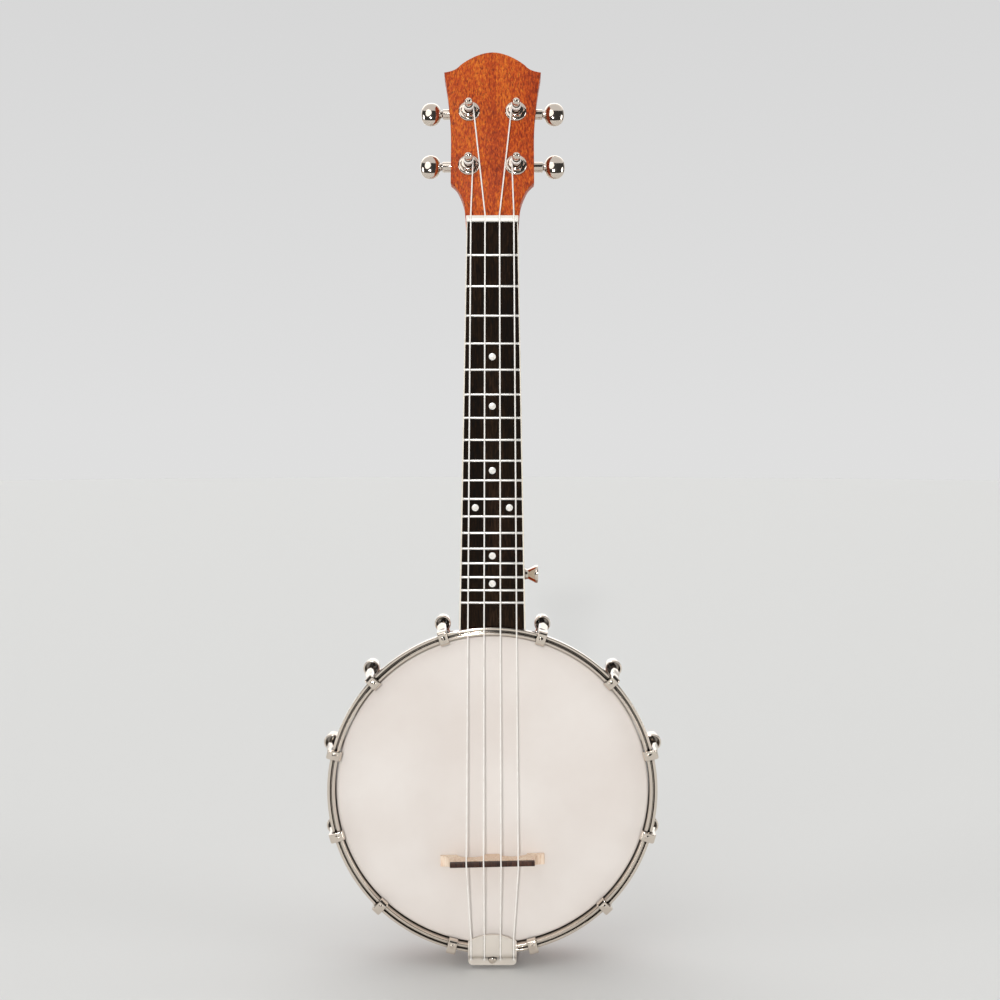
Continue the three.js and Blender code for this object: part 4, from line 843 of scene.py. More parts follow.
def add_hooks():
    hook, shoe = hook_shape(), shoe_shape()
    nut = nut_ring(HOOK_NUT_FLATS, ROD_RADIUS + THREAD_PLAY, SHOE_BACK, HOOK_NUT_BACK)
    nut = put(nut, 0, 0, ROD_PLACE)
    angles = [*HOOK_ANGLES, *(-angle for angle in reversed(HOOK_ANGLES))]
    for number, angle in enumerate(angles, 1):
        mark, around = f"{number:02d}", POT @ turned(angle, "Y")
        place_piece(f"hook_{mark}", hook, around, CHROME, "hoop", sharp=50)
        place_piece(f"shoe_{mark}", shoe, around, CHROME)
        place_piece(f"hook_nut_{mark}", nut, around, CHROME, node=f"shoe_{mark}")
    place_piece("tail_shoe", shoe, TAIL, CHROME)
    place_piece("tail_nut", nut, TAIL, CHROME, node="tail_shoe")


def add_coordinator():
    """The rod across the rim, and the washer and nut on its end at the tail."""
    inner = RIM_OUTER - RIM_WALL - COORDINATOR_GAP
    seat = SHOE_SEAT + END_WASHER_THICKNESS
    tail, heel = seat + END_NUT_LENGTH + COORDINATOR_PROUD, RIM_OUTER + COORDINATOR_BITE
    rod = lathe(rounded([
        (0, -tail), (COORDINATOR_END, -tail), (COORDINATOR_END, -inner),
        (COORDINATOR_RADIUS, -inner), (COORDINATOR_RADIUS, inner), (COORDINATOR_END, inner),
        (COORDINATOR_END, heel), (0, heel),
    ], COORDINATOR_ROUND, 3, False))
    place_piece("coordinator_rod", put(to_z(rod), 0, COORDINATOR_DEPTH, 0), POT, STEEL)
    disc = washer(
        COORDINATOR_END + PLAY, END_WASHER_RADIUS, SHOE_SEAT, seat, END_WASHER_ROUND
    )
    nut = nut_ring(END_NUT_FLATS, COORDINATOR_END + THREAD_PLAY, seat, seat + END_NUT_LENGTH)
    both = moved(to_z(together(disc, nut)), turned(180, "Y"))
    place_piece("coordinator_nut", put(both, 0, COORDINATOR_DEPTH, 0), POT, STEEL)


def add_tailpiece():
    """A bent plate with an arched front edge, in the frame whose +Z points down the tail."""
    arch_radius = (TAIL_HALF ** 2 + TAIL_ARCH ** 2) / (2 * TAIL_ARCH)
    bend = rounded([
        (TAIL_ARCH_START, TAIL_FRONT), (TAIL_FOLD, TAIL_FRONT),
        (TAIL_FOLD + TAIL_STEP_RUN, TAIL_FLANGE_FRONT), (TAIL_END, TAIL_FLANGE_FRONT),
    ], TAIL_BEND, 6, False)
    columns = []
    for turn in arc(pi, 48):
        x = -TAIL_HALF * cos(turn)
        start = TAIL_ARCH_START + arch_radius - sqrt(arch_radius ** 2 - x * x)
        in_corner = max(abs(x) - (TAIL_HALF - TAIL_CORNER), 0)
        end = TAIL_END - TAIL_CORNER + sqrt(TAIL_CORNER ** 2 - in_corner ** 2)
        line = [(between(start, bend[1][0], k / 8), TAIL_FRONT) for k in range(8)]
        route = [Vector((0, y, z)) for z, y in [*line, *bend[1:-1], (end, TAIL_FLANGE_FRONT)]]
        steered = zip(route, directions(route))
        back = [here + TAIL_THICKNESS * along.cross(ACROSS) for here, along in steered]
        columns.append([(x, place.y, place.z) for place in [*route, *reversed(back)]])
    slots = string_slots(
        "tail", TAIL_SLOT_HALF, (TAIL_FRONT - OVER, TAIL_FOLD - TAIL_SLOT_LENGTH),
        (TAIL_FLANGE_FRONT - TAIL_SLOT_STOP, TAIL_FOLD + TAIL_STEP_RUN + OVER),
    )
    hole = bolt(ROD_RADIUS + PLAY, TAIL_FRONT - OVER, OVER)
    relief = bolt(TAIL_BOLT_RADIUS + PLAY, TAIL_FRONT - OVER, TAIL_FLANGE_FRONT + TAIL_SKIM)
    holes = join(put(hole, 0, 0, ROD_PLACE), put(relief, 0, 0, ROD_PLACE))
    place_piece("tailpiece", cut(loft(columns), slots, holes), TAIL, NICKEL, bevel=0.2)


def add_tail_bolt():
    """A domed hexagon head on a plain stem."""
    base = TAIL_FLANGE_FRONT - PLAY
    shoulder = base - TAIL_HEAD_DEPTH
    flat = TAIL_BOLT_RADIUS * cos(pi / 6)
    dome = ball_line(flat, TAIL_DOME_RISE, shoulder, arc(TAIL_DOME_TURN, 5))
    profile = [
        *dome, (flat, shoulder, flat * 1.02), (flat, base - TAIL_HEAD_CHAMFER, TAIL_BOLT_RADIUS),
        (flat, base, TAIL_BOLT_RADIUS), (ROD_RADIUS, base), (ROD_RADIUS, ROD_BACK), (0, ROD_BACK),
    ]
    shape = put(lathe(profile, SMALL_SIDES), 0, 0, ROD_PLACE)
    place_piece("tail_bolt", shape, TAIL, CHROME)


# The neck


def board_half(along):
    return between(BOARD_END_WIDTH, BOARD_NUT_WIDTH, along / NUT_FRONT) / 2


def neck_half(along):
    return board_half(along) - NECK_SIDE_INSET


def wood_half(along):
    """Half the width of the board's dark wood, between its bindings."""
    return board_half(along) - between(BINDING_AT_END, BINDING_AT_NUT, along / NUT_FRONT)


def shaft_depth(along):
    return between(SHAFT_AT_HEEL, SHAFT_AT_NUT, along / NUT_FRONT)


def head_outline():
    """A throat, square shoulders, flaring sides, and a crown between two horns."""
    def place(half_share, length_share):
        return Vector((half_share * HORN_HALF, length_share * CREST_LENGTH))

    def curve(points, steps=14):
        """A curve that starts and ends as the line of points does, without its last place."""
        line = []
        for step in range(steps):
            level = points
            while len(level) > 1:
                pairs = zip(level, level[1:])
                level = [first.lerp(second, step / steps) for first, second in pairs]
            line.append(level[0])
        return line

    throat = Vector((THROAT_HALF, THROAT_LENGTH))
    shoulder = Vector((SHOULDER_HALF, SHOULDER_LENGTH))
    waist, horn = Vector((SHOULDER_HALF, WAIST_LENGTH)), Vector((HORN_HALF, HORN_LENGTH))
    dip, crest = place(0.676, 0.918), Vector((0, CREST_LENGTH))
    right = curve([throat, place(0.574, 0.108), place(0.694, 0.17), shoulder])
    right += [shoulder, *curve([waist, place(0.852, 0.648), horn])]
    right += curve([horn, place(0.833, 0.882), place(0.741, 0.894), dip])
    right += [*curve([dip, place(0.525, 0.955), place(0.247, 1), crest]), crest]
    left = [Vector((-point.x, point.y)) for point in reversed(right[:-1])]
    return right + left


def neck_ring(along, half, depth, power):
    """Half a ring behind the neck's flat front, from side to side."""
    return [
        (half * signed_power(cos(turn), 2 / power),
         NECK_TOP + depth * abs(sin(turn)) ** (2 / power), along)
        for turn in arc(pi, 40)
    ]


def neck_shaft():
    """The heel, the shaft, and the rise behind the headstock, cut off along its face."""
    rings = []
    heel_start = RIM_OUTER - BOARD_END - FAR_OVER
    heel_steps, shaft_steps, blend_steps = 40, 24, 16
    for i in range(heel_steps):
        along = between(heel_start, HEEL_LENGTH, i / heel_steps)
        share = (1 - max(along, 0) / HEEL_LENGTH) ** HEEL_CURVE
        depth = shaft_depth(along) + share * (HEEL_DEPTH - SHAFT_AT_HEEL)
        power = between(SHAFT_SECTION, HEEL_SECTION, share)
        rings.append(neck_ring(along, neck_half(along), depth, power))
    blend_start = HEAD_START - BLEND_BEFORE
    for i in range(shaft_steps):
        along = between(HEEL_LENGTH, blend_start, i / shaft_steps)
        rings.append(neck_ring(along, neck_half(along), shaft_depth(along), SHAFT_SECTION))
    for i in range(blend_steps + 1):
        share = (i / blend_steps) ** 2
        along = blend_start + (BLEND_BEFORE + BLEND_AFTER) * i / blend_steps
        half = between(neck_half(blend_start), BLEND_HALF, share)
        depth = between(SHAFT_AT_NUT, BLEND_DEPTH, share)
        rings.append(neck_ring(along, half, depth, between(SHAFT_SECTION, BLEND_SECTION, share)))
    end = HEAD_START + BLEND_END
    half, depth = BLEND_HALF - BLEND_TRIM, BLEND_DEPTH - 2 * BLEND_TRIM
    rings.append(neck_ring(end, half, depth, BLEND_SECTION))
    front = box((-HEAD_CUT_HALF, -HEAD_THICKNESS, 0), (HEAD_CUT_HALF, 0, 2 * BLEND_BEFORE))
    return cut(loft(rings), moved(front, head_in_neck))


def headstock():
    """A slab whose shoulders are carved: their undersides rise towards the back."""
    right, left = (Vector((side * HEAD_ROOT_HALF, HEAD_ROOT_LENGTH)) for side in (1, -1))
    places, faces = slab([right, *head_outline(), left], 0, HEAD_THICKNESS, HEAD_EDGE, 4)
    carved = []
    for x, y, z in places:
        under = z < SHOULDER_LENGTH + 2 * HEAD_EDGE
        share = clamped((abs(x) - CARVE_START) / CARVE_RUN) if under else 0
        carved.append(Vector((x, y, z + SHOULDER_CARVE * share * y / HEAD_THICKNESS)))
    return moved((carved, faces), head_in_neck)


def add_neck():
    """The shaft and the headstock, bored for all that goes into them and cut to the rim."""
    hole = bolt(SLEEVE_RADIUS + PLAY, -FAR_OVER, HEAD_THICKNESS + FAR_OVER)
    screw_end = CASE_FRONT - SCREW_REACH - PLAY
    screw = bolt(SCREW_STEM + PLAY, screw_end, HEAD_THICKNESS + FAR_OVER)
    bores = []
    for side, length in POST_PLACES:
        bores.append(put(hole, side * POST_SPREAD, 0, length))
        bores.append(put(screw, side * POST_SPREAD, 0, length - EAR_END + EAR_HALF))
    pot_in_neck = neck_in_pot.inverted()
    heel_end = RIM_OUTER + COORDINATOR_BITE + PLAY
    bore = to_z(bolt(COORDINATOR_END + PLAY, RIM_OUTER - RIM_WALL, heel_end))
    pot_tools = [
        bolt(SHOE_SEAT, -RIM_BACK, 2 * RIM_BACK, RING_SIDES),
        bolt(BOARD_END, -RIM_BACK, FLESH_BACK + HEEL_ROOM, RING_SIDES),
        put(bore, 0, COORDINATOR_DEPTH, 0),
    ]
    seat = neck_half(STRAP_ALONG)
    pin_end = seat - STRAP_PIN_LENGTH - PLAY
    pin = to_x(bolt(STRAP_PIN_RADIUS + PLAY, pin_end, seat + FAR_OVER))
    shape = cut(
        join(neck_shaft(), headstock()), moved(together(*bores), head_in_neck),
        *(moved(tool, pot_in_neck) for tool in pot_tools), put(pin, 0, STRAP_DEEP, STRAP_ALONG),
    )
    place_piece("neck", shape, NECK, MAHOGANY, sharp=38)


def board_start(x):
    """Where the board ends at its foot, which follows the hoop."""
    return sqrt(BOARD_END ** 2 - x * x) - BOARD_END


def add_fretboard():
    columns = []
    rows = 16
    for i in range(rows + 1):
        share = between(-1, 1, i / rows)
        foot, top = share * wood_half(0), share * wood_half(BOARD_LENGTH)
        places = [(foot, board_start(foot)), (top, BOARD_LENGTH)]
        front = [(x, 0, z) for x, z in places]
        columns.append(front + [(x, BOARD_THICKNESS, z) for x, z in reversed(places)])
    place_piece("fretboard", loft(columns), NECK, BLACKWOOD)


def add_binding():
    """A pale strip along each side of the board, with its front edge rounded."""
    def edge_ring(along, side):
        inner, outer = wood_half(along), board_half(along)
        edge = [(outer - way_in, way_down) for way_in, way_down in BINDING_EDGE]
        corners = [(inner, BOARD_THICKNESS), (inner, 0), *edge, (outer, BOARD_THICKNESS)]
        return [(side * x, y, along) for x, y in corners]

    foot = board_start(board_half(0))
    edges = [loft([edge_ring(foot, side), edge_ring(BOARD_LENGTH, side)]) for side in (-1, 1)]
    place_piece("board_binding", together(*edges), NECK, BINDING, node="fretboard")


def fret_place(fret):
    return NUT_FRONT - SCALE_LENGTH * (1 - 2 ** (-fret / 12))


def add_frets():
    """Round-topped bars whose ends are dressed down, each with its tang in the board."""
    bars = []
    for fret in range(1, FRETS + 1):
        along = fret_place(fret)
        half = wood_half(along)
        ends = [(way_in - half, rise) for way_in, rise in FRET_ENDS]
        ends += [(-x, rise) for x, rise in reversed(ends)]
        rings = []
        for x, rise in ends:
            ring = [
                (x, -FRET_HEIGHT * rise * sin(turn), along + FRET_HALF * cos(turn))
                for turn in arc(pi, 10)
            ]
            tang = [(x, FRET_BITE, along - FRET_TANG_HALF), (x, FRET_BITE, along + FRET_TANG_HALF)]
            rings.append(ring + tang)
        bars.append(loft(rings))
    place_piece("frets", together(*bars), NECK, FRET_METAL, node="fretboard")


def add_dots():
    dot = bolt(DOT_RADIUS, -DOT_PROUD, DOT_DEPTH, edge=0.1, steps=3)
    rows = [(fret, (0,)) for fret in SINGLE_DOTS]
    rows += [(fret, (-DOT_SPREAD, DOT_SPREAD)) for fret in DOUBLE_DOTS]
    dots = []
    for fret, xs in rows:
        along = (fret_place(fret) + fret_place(fret - 1)) / 2
        dots += [put(dot, x, 0, along) for x in xs]
    place_piece("position_dots", together(*dots), NECK, PEARL, node="fretboard")


def add_string_nut():
    side = rounded([
        (NUT_FRONT, BOARD_THICKNESS), (NUT_FRONT, -NUT_RISE),
        ((NUT_FRONT + NUT_BACK) / 2, -NUT_RISE), (NUT_BACK, NUT_FALL - NUT_RISE),
        (NUT_BACK, BOARD_THICKNESS),
    ], NUT_ROUND)
    steps = [(way_in - NUT_HALF, shrink) for way_in, shrink in NUT_ENDS]
    steps += [(-x, shrink) for x, shrink in reversed(steps)]
    rings = [[(x, y, z) for z, y in inset(side, shrink)] for x, shrink in steps]
    slots = string_slots(
        "nut", NUT_SLOT_HALF, (-NUT_RISE - OVER, NUT_FRONT - OVER),
        (NUT_SLOT_DEPTH - NUT_RISE, NUT_BACK + OVER),
    )
    place_piece("string_nut", cut(loft(rings), slots), NECK, BONE)


def add_strap_button():
    shape = to_x(lathe(rounded([
        (0, -STRAP_PIN_LENGTH), (STRAP_PIN_RADIUS, -STRAP_PIN_LENGTH), (STRAP_PIN_RADIUS, 0),
        (STRAP_BASE, 0), (STRAP_WAIST, 0.25 * STRAP_LENGTH),
        (STRAP_RADIUS, STRAP_LENGTH - STRAP_RIM), (STRAP_RADIUS, STRAP_LENGTH), (0, STRAP_LENGTH),
    ], STRAP_ROUND, 5, False)))
    shape = put(shape, neck_half(STRAP_ALONG) + PLAY, STRAP_DEEP, STRAP_ALONG)
    place_piece("strap_button", shape, NECK, CHROME)


# The tuning machines


def bushing_shape():
    """A dished washer, a hexagon in front of it, and a sleeve into the headstock."""
    half = BUSHING_FLATS / 2
    dish = WASHER_FRONT - WASHER_BACK
    soft = rounded([
        (WASHER_RADIUS, WASHER_BACK), (WASHER_RADIUS, WASHER_BACK + 0.25 * dish),
        (WASHER_RADIUS - 0.4, WASHER_BACK + 0.7 * dish), (half * 1.2, WASHER_FRONT),
    ], 0.35, 4, False)
    front = [
        (half, WASHER_FRONT, half * HEX_CORNER), (half, BUSHING_FRONT + 0.9, half * HEX_CORNER),
        (half, BUSHING_FRONT + 0.25, half), (half - 0.6, BUSHING_FRONT),
        (BUSHING_BORE, BUSHING_FRONT),
    ]
    back = [
        (BUSHING_BORE, BUSHING_BACK), (SLEEVE_RADIUS, BUSHING_BACK), (SLEEVE_RADIUS, WASHER_BACK),
    ]
    return lathe([*soft, *front, *back], PART_SIDES, True)


def wheel_shape():
    """The worm wheel: slanted teeth, one of them pointing at the worm."""
    tip, root = WHEEL_PITCH_RADIUS + TOOTH_RISE, WHEEL_PITCH_RADIUS - TOOTH_FALL
    corners = [
        (root, TOOTH_ROOT_HALF), (tip, TOOTH_TIP_HALF), (tip, -TOOTH_TIP_HALF),
        (root, -TOOTH_ROOT_HALF),
    ]
    rings = []
    for depth in (-WHEEL_THICKNESS / 2, WHEEL_THICKNESS / 2):
        slant = WORM_PITCH / (2 * pi * WORM_PITCH_RADIUS) * depth / WHEEL_PITCH_RADIUS
        ring = []
        for middle in circle(WORM_TEETH):
            for radius, half in corners:
                turn = middle + slant - half / radius
                ring.append((radius * sin(turn), GEAR_DEPTH + depth, radius * cos(turn)))
        rings.append(ring)
    return loft(rings)


def worm_shape():
    """A thread round the button's shaft, drawn as a ridge that winds along X."""
    tip, root = WORM_PITCH_RADIUS + TOOTH_RISE, WORM_PITCH_RADIUS - TOOTH_FALL
    foot = root - WORM_BITE
    corners = [
        (-TOOTH_ROOT_HALF, foot), (-TOOTH_TIP_HALF, tip), (TOOTH_TIP_HALF, tip),
        (TOOTH_ROOT_HALF, foot),
    ]
    turns = WORM_TURNS - WORM_END
    rings = []
    for i in range(round(turns * TURN_STEPS) + 1):
        share = i / TURN_STEPS - turns / 2
        turn = 2 * pi * share + pi / 2
        along = WORM_PITCH * share
        rings.append([(along + a, r * cos(turn), r * sin(turn)) for a, r in corners])
    return join(to_x(bolt(root, -WORM_HALF, WORM_HALF)), loft(rings))


def post_shape():
    """A ball on a waist, with the string's hole behind the ball, and the worm wheel."""
    waist_turn = asin(POST_WAIST / BALL_RADIUS)
    ball = ball_line(BALL_RADIUS, BALL_RADIUS, BALL_CENTRE, arc(pi - waist_turn, 16))
    stem = rounded([
        ball[-1], (POST_WAIST, POST_SHOULDER), (POST_RADIUS, POST_SHOULDER),
        (POST_RADIUS, GEAR_DEPTH), (POST_TAIL, GEAR_DEPTH), (POST_TAIL, POST_BOTTOM),
        (0, POST_BOTTOM),
    ], POST_ROUND, 4, False)
    waist_start = BALL_CENTRE + sqrt(BALL_RADIUS ** 2 - POST_WAIST ** 2)
    hole = put(to_x(bolt(STRING_HOLE, -FAR_OVER, FAR_OVER, 16)), 0, waist_start, 0)
    return cut(join(lathe([*ball[:-1], *stem], SMALL_SIDES), wheel_shape()), hole)


def button_shape(side):
    """An oval button with its collar, its shaft and the worm, about its own axis."""
    start = BUTTON_START - POST_SPREAD
    profile = []
    for turn in arc(pi, 32):
        radius = sin(turn) ** BUTTON_POWER if 0 < turn < pi else 0
        along = -signed_power(cos(turn), BUTTON_POWER)
        profile.append((radius * BUTTON_HEIGHT / 2, along * BUTTON_LENGTH / 2))
    flatten = Matrix.Diagonal((1, BUTTON_THICKNESS / BUTTON_HEIGHT, 1, 1))
    oval = put(moved(to_x(lathe(profile)), flatten), start + BUTTON_LENGTH / 2, 0, 0)
    collar = bolt(
        COLLAR_RADIUS, start - COLLAR_LENGTH, start + COLLAR_BITE, edge=COLLAR_ROUND, steps=3
    )
    shaft = bolt(WORM_SHAFT, -WORM_HALF - WORM_TAIL, start + SHAFT_BITE)
    return join(to_side(join(oval, to_x(collar), to_x(shaft)), side), worm_shape())


def case_shell():
    """A box with round corners, a round back edge and a low crown."""
    outline = rounded([
        (-CASE_HALF, -CASE_BELOW), (CASE_HALF, -CASE_BELOW), (CASE_HALF, CASE_ABOVE),
        (-CASE_HALF, CASE_ABOVE),
    ], CASE_CORNER, 8)
    shoulder = CASE_BACK - CASE_CROWN
    levels = [(0, CASE_FRONT)]
    for turn in arc(pi / 2, 5):
        levels.append((CASE_EDGE * (1 - cos(turn)), shoulder - CASE_EDGE * (1 - sin(turn))))
    rings = [[(x, depth, z) for x, z in inset(outline, shrink)] for shrink, depth in levels]
    edge = [Vector(place) for place in rings[-1]]
    middle = Vector((0, shoulder, (CASE_ABOVE - CASE_BELOW) / 2))
    for share in (0.85, 0.7, 0.5, 0.25, 0.05):
        rise = Vector((0, CASE_CROWN * (1 - share ** 2), 0))
        rings.append([middle.lerp(place, share) + rise for place in edge])
    return loft(rings)


def case_ear():
    """The ear below the case, and the cross-slotted screw through it."""
    middle = EAR_END - EAR_HALF
    line = [(EAR_HALF * cos(turn), -middle - EAR_HALF * sin(turn)) for turn in arc(pi, 24)]
    line += [(side * EAR_HALF, CASE_CORNER - CASE_BELOW) for side in (-1, 1)]
    dome = ball_line(SCREW_RADIUS, -SCREW_RISE, EAR_BACK, arc(SCREW_TURN, 6))
    tip = CASE_FRONT - SCREW_REACH
    stem = [(SCREW_RADIUS, EAR_BACK), (SCREW_STEM, EAR_BACK), (SCREW_STEM, tip), (0, tip)]
    slot = box(
        (-SCREW_SLOT_HALF, EAR_BACK + SCREW_SLOT_FLOOR, -SCREW_SLOT_REACH),
        (SCREW_SLOT_HALF, EAR_BACK + 2 * OVER, SCREW_SLOT_REACH),
    )
    screw = cut(lathe([*dome, *stem], SMALL_SIDES), together(slot, moved(slot, turned(90, "Y"))))
    return slab(line, CASE_FRONT, EAR_BACK, EAR_EDGE), put(screw, 0, 0, -middle)


def case_shape(side):
    """The gear case with its barrel and its screwed ear, bored for the gears."""
    axle = (0, GEAR_DEPTH, GEAR_DISTANCE)
    reach = BARREL_REACH - POST_SPREAD
    barrel = to_side(to_x(bolt(BARREL_RADIUS, 0, reach, PART_SIDES, BARREL_ROUND)), side)
    wheel_reach = (GEAR_DEPTH - WHEEL_ROOM_HALF, GEAR_DEPTH + WHEEL_ROOM_HALF)
    worm_half = WORM_HALF + PLAY
    worm_reach = sorted((-side * (worm_half + WORM_TAIL), side * (reach + FAR_OVER)))
    bores = [
        bolt(BUSHING_BORE, CASE_FRONT - FAR_OVER, GEAR_DEPTH),
        bolt(WHEEL_PITCH_RADIUS + TOOTH_RISE + WHEEL_ROOM, *wheel_reach),
        bolt(POST_TAIL + SHAFT_ROOM, GEAR_DEPTH, CASE_BACK - CASE_WALL),
        put(to_x(bolt(WORM_PITCH_RADIUS + TOOTH_RISE + WORM_ROOM, -worm_half, worm_half)), *axle),
        put(to_x(bolt(WORM_SHAFT + SHAFT_ROOM, *worm_reach)), *axle),
    ]
    return cut(join(case_shell(), *case_ear(), put(barrel, *axle)), *bores)


def add_machines():
    bushing, post = bushing_shape(), post_shape()
    cases = {side: case_shape(side) for side in (-1, 1)}
    buttons = {side: button_shape(side) for side in (-1, 1)}
    for number, (side, length) in enumerate(POST_PLACES, 1):
        machine = HEAD @ shifted(side * POST_SPREAD, 0, length)
        axle = machine @ shifted(0, GEAR_DEPTH, GEAR_DISTANCE)
        place_piece(f"bushing_{number}", bushing, machine, CHROME)
        place_piece(f"post_{number}", post, machine, CHROME, f"post_{number}")
        place_piece(f"tuner_case_{number}", cases[side], machine, CHROME)
        place_piece(f"tuning_button_{number}", buttons[side], axle, CHROME, f"button_{number}")


# The bridge and the strings


def add_bridge_base():
    """A base on three feet with arches between them, thicker at its feet."""
    arch_half = (BRIDGE_HALF - BRIDGE_OUTER_FOOT - BRIDGE_MIDDLE_FOOT / 2) / 2
    arch_middle = BRIDGE_MIDDLE_FOOT / 2 + arch_half
    foot_top = BRIDGE_FEET - BRIDGE_FOOT_RISE
    rise_above_foot = foot_top - BRIDGE_BASE_TOP

    def low(x):
        share = (abs(x) - arch_middle) / arch_half
        return BRIDGE_FEET - BRIDGE_ARCH * sqrt(max(1 - share * share, 0))

    def high(x):
        beyond = (abs(x) - BRIDGE_TOP_HALF) / (BRIDGE_HALF - BRIDGE_TOP_HALF)
        if beyond <= 0:
            return BRIDGE_BASE_TOP
        return foot_top - rise_above_foot * (1 - sqrt(beyond)) ** 2

    def back(y):
        share = clamped((foot_top - y) / rise_above_foot)
        return between(BRIDGE_FRONT - BRIDGE_FOOT_DEPTH, -BRIDGE_FRONT, share)

    marks = [arch_middle - arch_half, arch_middle + arch_half, BRIDGE_TOP_HALF, BRIDGE_HALF]
    xs = set()
    for start, end in zip([0, *marks], marks):
        xs |= {round(between(start, end, (1 - cos(turn)) / 2), 4) for turn in arc(pi, 16)}
    rings = []
    rows = 8
    for x in sorted(xs | {-x for x in xs}):
        front_line = [
            (x, between(low(x), high(x), k / rows), BRIDGE_FRONT) for k in range(rows + 1)
        ]
        back_line = [(x, y, back(y)) for _, y, _ in reversed(front_line)]
        rings.append(front_line + back_line)
    place_piece("bridge_base", loft(rings), BRIDGE, MAPLE, "bridge", sharp=50, bevel=0.3)


def add_bridge_cap():
    """A dark bar with a notch for each string."""
    floor = BRIDGE_TOP + NOTCH_DEPTH
    outline = [(-BRIDGE_CAP_HALF, BRIDGE_CAP_BACK), (-BRIDGE_CAP_HALF, BRIDGE_TOP)]
    for x in string_places("bridge"):
        outline += [
            (x - NOTCH_HALF, BRIDGE_TOP), (x - 0.5 * NOTCH_HALF, floor),
            (x + 0.5 * NOTCH_HALF, floor), (x + NOTCH_HALF, BRIDGE_TOP),
        ]
    outline += [(BRIDGE_CAP_HALF, BRIDGE_TOP), (BRIDGE_CAP_HALF, BRIDGE_CAP_BACK)]
    places, faces = slab(outline, -BRIDGE_CAP_FRONT, BRIDGE_CAP_FRONT, BRIDGE_CAP_ROUND)
    shape = [Vector((place.x, place.z, place.y)) for place in places], faces
    place_piece("bridge_cap", shape, BRIDGE, CAP_WOOD, "bridge", sharp=40)


def add_string(number, side, length, at):
    """Two stretches that meet in the bridge's notch: one to the tailpiece, one to the post."""
    def in_pot(x, y, z, matrix=Matrix()):
        return matrix @ Vector((side * x, y, z))

    def add_stretch(name, shape, start, end, margin):
        """Baked in place on no body. The span from a margin behind its start to one before its end
        is worked out as its bend, but place_piece does not read that span.
        """
        start, end = POT @ start, POT @ end
        inside = (end - start) * margin
        bend = ("root", "bridge", start + inside, end - inside)
        place_piece(name, shape, POT, NYLON, node=f"string_{number}", bend=bend)

    near = BRIDGE_FRONT + STRING_RADIUS
    notch, below, above = (
        in_pot(at["bridge"], STRING_AT_BRIDGE, z, bridge_in_pot) for z in (0, -near, near)
    )
    knot = in_pot(at["tail"], KNOT_DEPTH, KNOT_PLACE)
    plate_back = in_pot(at["tail"], STRING_AT_TAIL, PLATE_BACK_BEND)
    plate_front = in_pot(at["tail"], STRING_AT_TAIL, PLATE_FRONT_BEND)
    middle = in_pot(at["tail"], (STRING_AT_TAIL + KNOT_DEPTH) / 2, -TAIL_FOLD - STRING_RADIUS)
    corners = [knot, middle, plate_back, plate_front, below, notch]
    tail = tube(rounded(corners, STRING_BEND, 5, False), STRING_RADIUS)
    ball = lathe(ball_line(KNOT_RADIUS, KNOT_RADIUS, 0, arc(pi, 12)), 24)
    wrap = [
        knot + Vector(
            (cos(turn) * KNOT_COIL, sin(turn) * KNOT_COIL, KNOT_PITCH * (i / TURN_STEPS - 1))
        )
        for i, turn in enumerate(arc(4 * pi, 2 * TURN_STEPS))
    ]
    tail = join(tail, put(ball, *knot), tube(wrap, KNOT_STRAND, 8))
    add_stretch(f"string_{number}_tail", tail, plate_front, below, margin=0.02)

    on_nut = in_pot(at["nut"], STRING_AT_NUT, NUT_FRONT, neck_in_pot)
    off_nut = in_pot(at["nut"], STRING_AT_NUT, NUT_BACK + STRING_RADIUS, neck_in_pot)
    winding = []
    for step in range(int(WINDING_TURNS * TURN_STEPS) + 1):
        turn = 2 * pi * step / TURN_STEPS
        x = POST_SPREAD - WINDING_RADIUS * cos(turn)
        y = WINDING_START - WINDING_PITCH * step / TURN_STEPS
        winding.append(in_pot(x, y, length + WINDING_RADIUS * sin(turn), head_in_pot))
    lead = rounded([notch, above, on_nut, off_nut, winding[0]], STRING_BEND, 5, False)
    main = tube([*lead, *winding[1:]], STRING_RADIUS)
    add_stretch(f"string_{number}", main, on_nut, above, margin=0.01)


# The set: floor, lamps, world and camera

FLOOR_GAP, FLOOR_RADIUS, FLOOR_THICKNESS = 0.0015, 9.0, 0.02
BACKGROUND, HORIZON = 0.68, 0.74
CAMERA_PLACE = (0.00498, -0.92450, -0.14806)
CAMERA_TILT = 87
LENS, SENSOR = 50.06, 36.0


def add_floor():
    mesh = mesh_of("floor", to_z(bolt(FLOOR_RADIUS, 0, FLOOR_THICKNESS)))
    mesh.transform(shifted(0, 0, cad_box[0].z - FLOOR_GAP - FLOOR_THICKNESS))
    mesh.materials.append(floor_paint())
    new_object("floor", mesh)


def add_sun(name, strength, width, turn):
    """Even light from far away, as wide across as the given degrees."""
    data = bpy.data.lights.new(name, "SUN")
    data.energy, data.angle = strength, radians(width)
    new_object(name, data).rotation_euler = [radians(degrees) for degrees in turn]


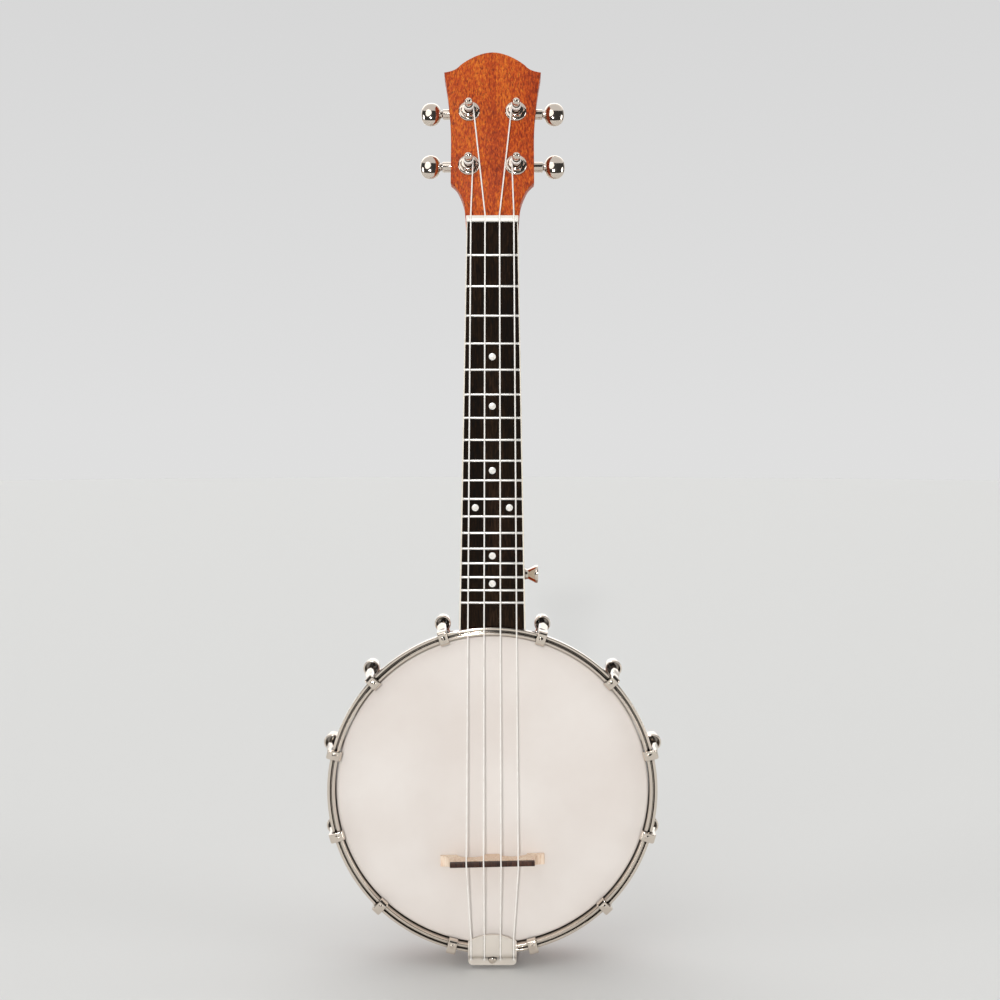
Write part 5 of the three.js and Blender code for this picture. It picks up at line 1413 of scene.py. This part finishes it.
def add_world():
    """A pale room: bright behind the object and above, darker towards the listener. The camera
    sees a plain wall instead, a little brighter at its foot."""
    world = bpy.data.worlds.new("room")
    bpy.context.scene.world = world
    world.use_nodes = True
    room = Nodes(world.node_tree)
    generated = room.node("TexCoord").outputs["Generated"]
    way = room.node("SeparateXYZ", {"Vector": generated}).outputs
    path = room.node("LightPath").outputs
    clear = room.maths("MAXIMUM", path["Is Glossy Ray"], path["Is Transmission Ray"])
    light = room.steps(way["Y"], 0.0, 0.85, 0.05, BACKGROUND)
    light = room.maths("MULTIPLY", light, room.steps(clear, 0.0, 1.0, 0.75))
    wall = room.steps(way["Z"], 0.0, 0.3, HORIZON, BACKGROUND)
    shown = room.node("Mix", {"Factor": path["Is Camera Ray"], "A": light, "B": wall})
    background = room.tree.nodes["Background"].inputs
    background["Color"].default_value = (1, 1, 1, 1)
    room.tree.links.new(shown.outputs["Result"], background["Strength"])


def add_camera():
    data = bpy.data.cameras.new("camera")
    data.lens, data.sensor_width = LENS, SENSOR
    data.clip_start, data.clip_end = 0.05, 50
    camera = new_object("camera", data)
    camera.location = CAMERA_PLACE
    camera.rotation_euler = (radians(CAMERA_TILT), 0, 0)
    bpy.context.scene.camera = camera


bpy.context.scene.view_settings.view_transform = "Standard"
add_floor()
add_world()
add_sun("key", 1.38, 4, (74, 0, -4.5))
add_sun("front", 0.4, 34, (50, 0, -23))
add_sun("left", 0.5, 26, (78, 0, -68))
add_sun("right", 0.58, 26, (78, 0, 68))
add_sun("sky", 1.25, 100, (-12, 0, 0))
add_sun("back", 0.9, 80, (-62, 0, 12))
add_camera()

add_rim()
add_skin()
add_hoops()
add_hooks()
add_coordinator()
add_tailpiece()
add_tail_bolt()
add_neck()
add_fretboard()
add_binding()
add_frets()
add_dots()
add_string_nut()
add_strap_button()
add_machines()
add_bridge_base()
add_bridge_cap()
for number, (side, length) in enumerate(POST_PLACES, 1):
    add_string(number, side, length, OUTER_AT if length == LOWER_POST else INNER_AT)
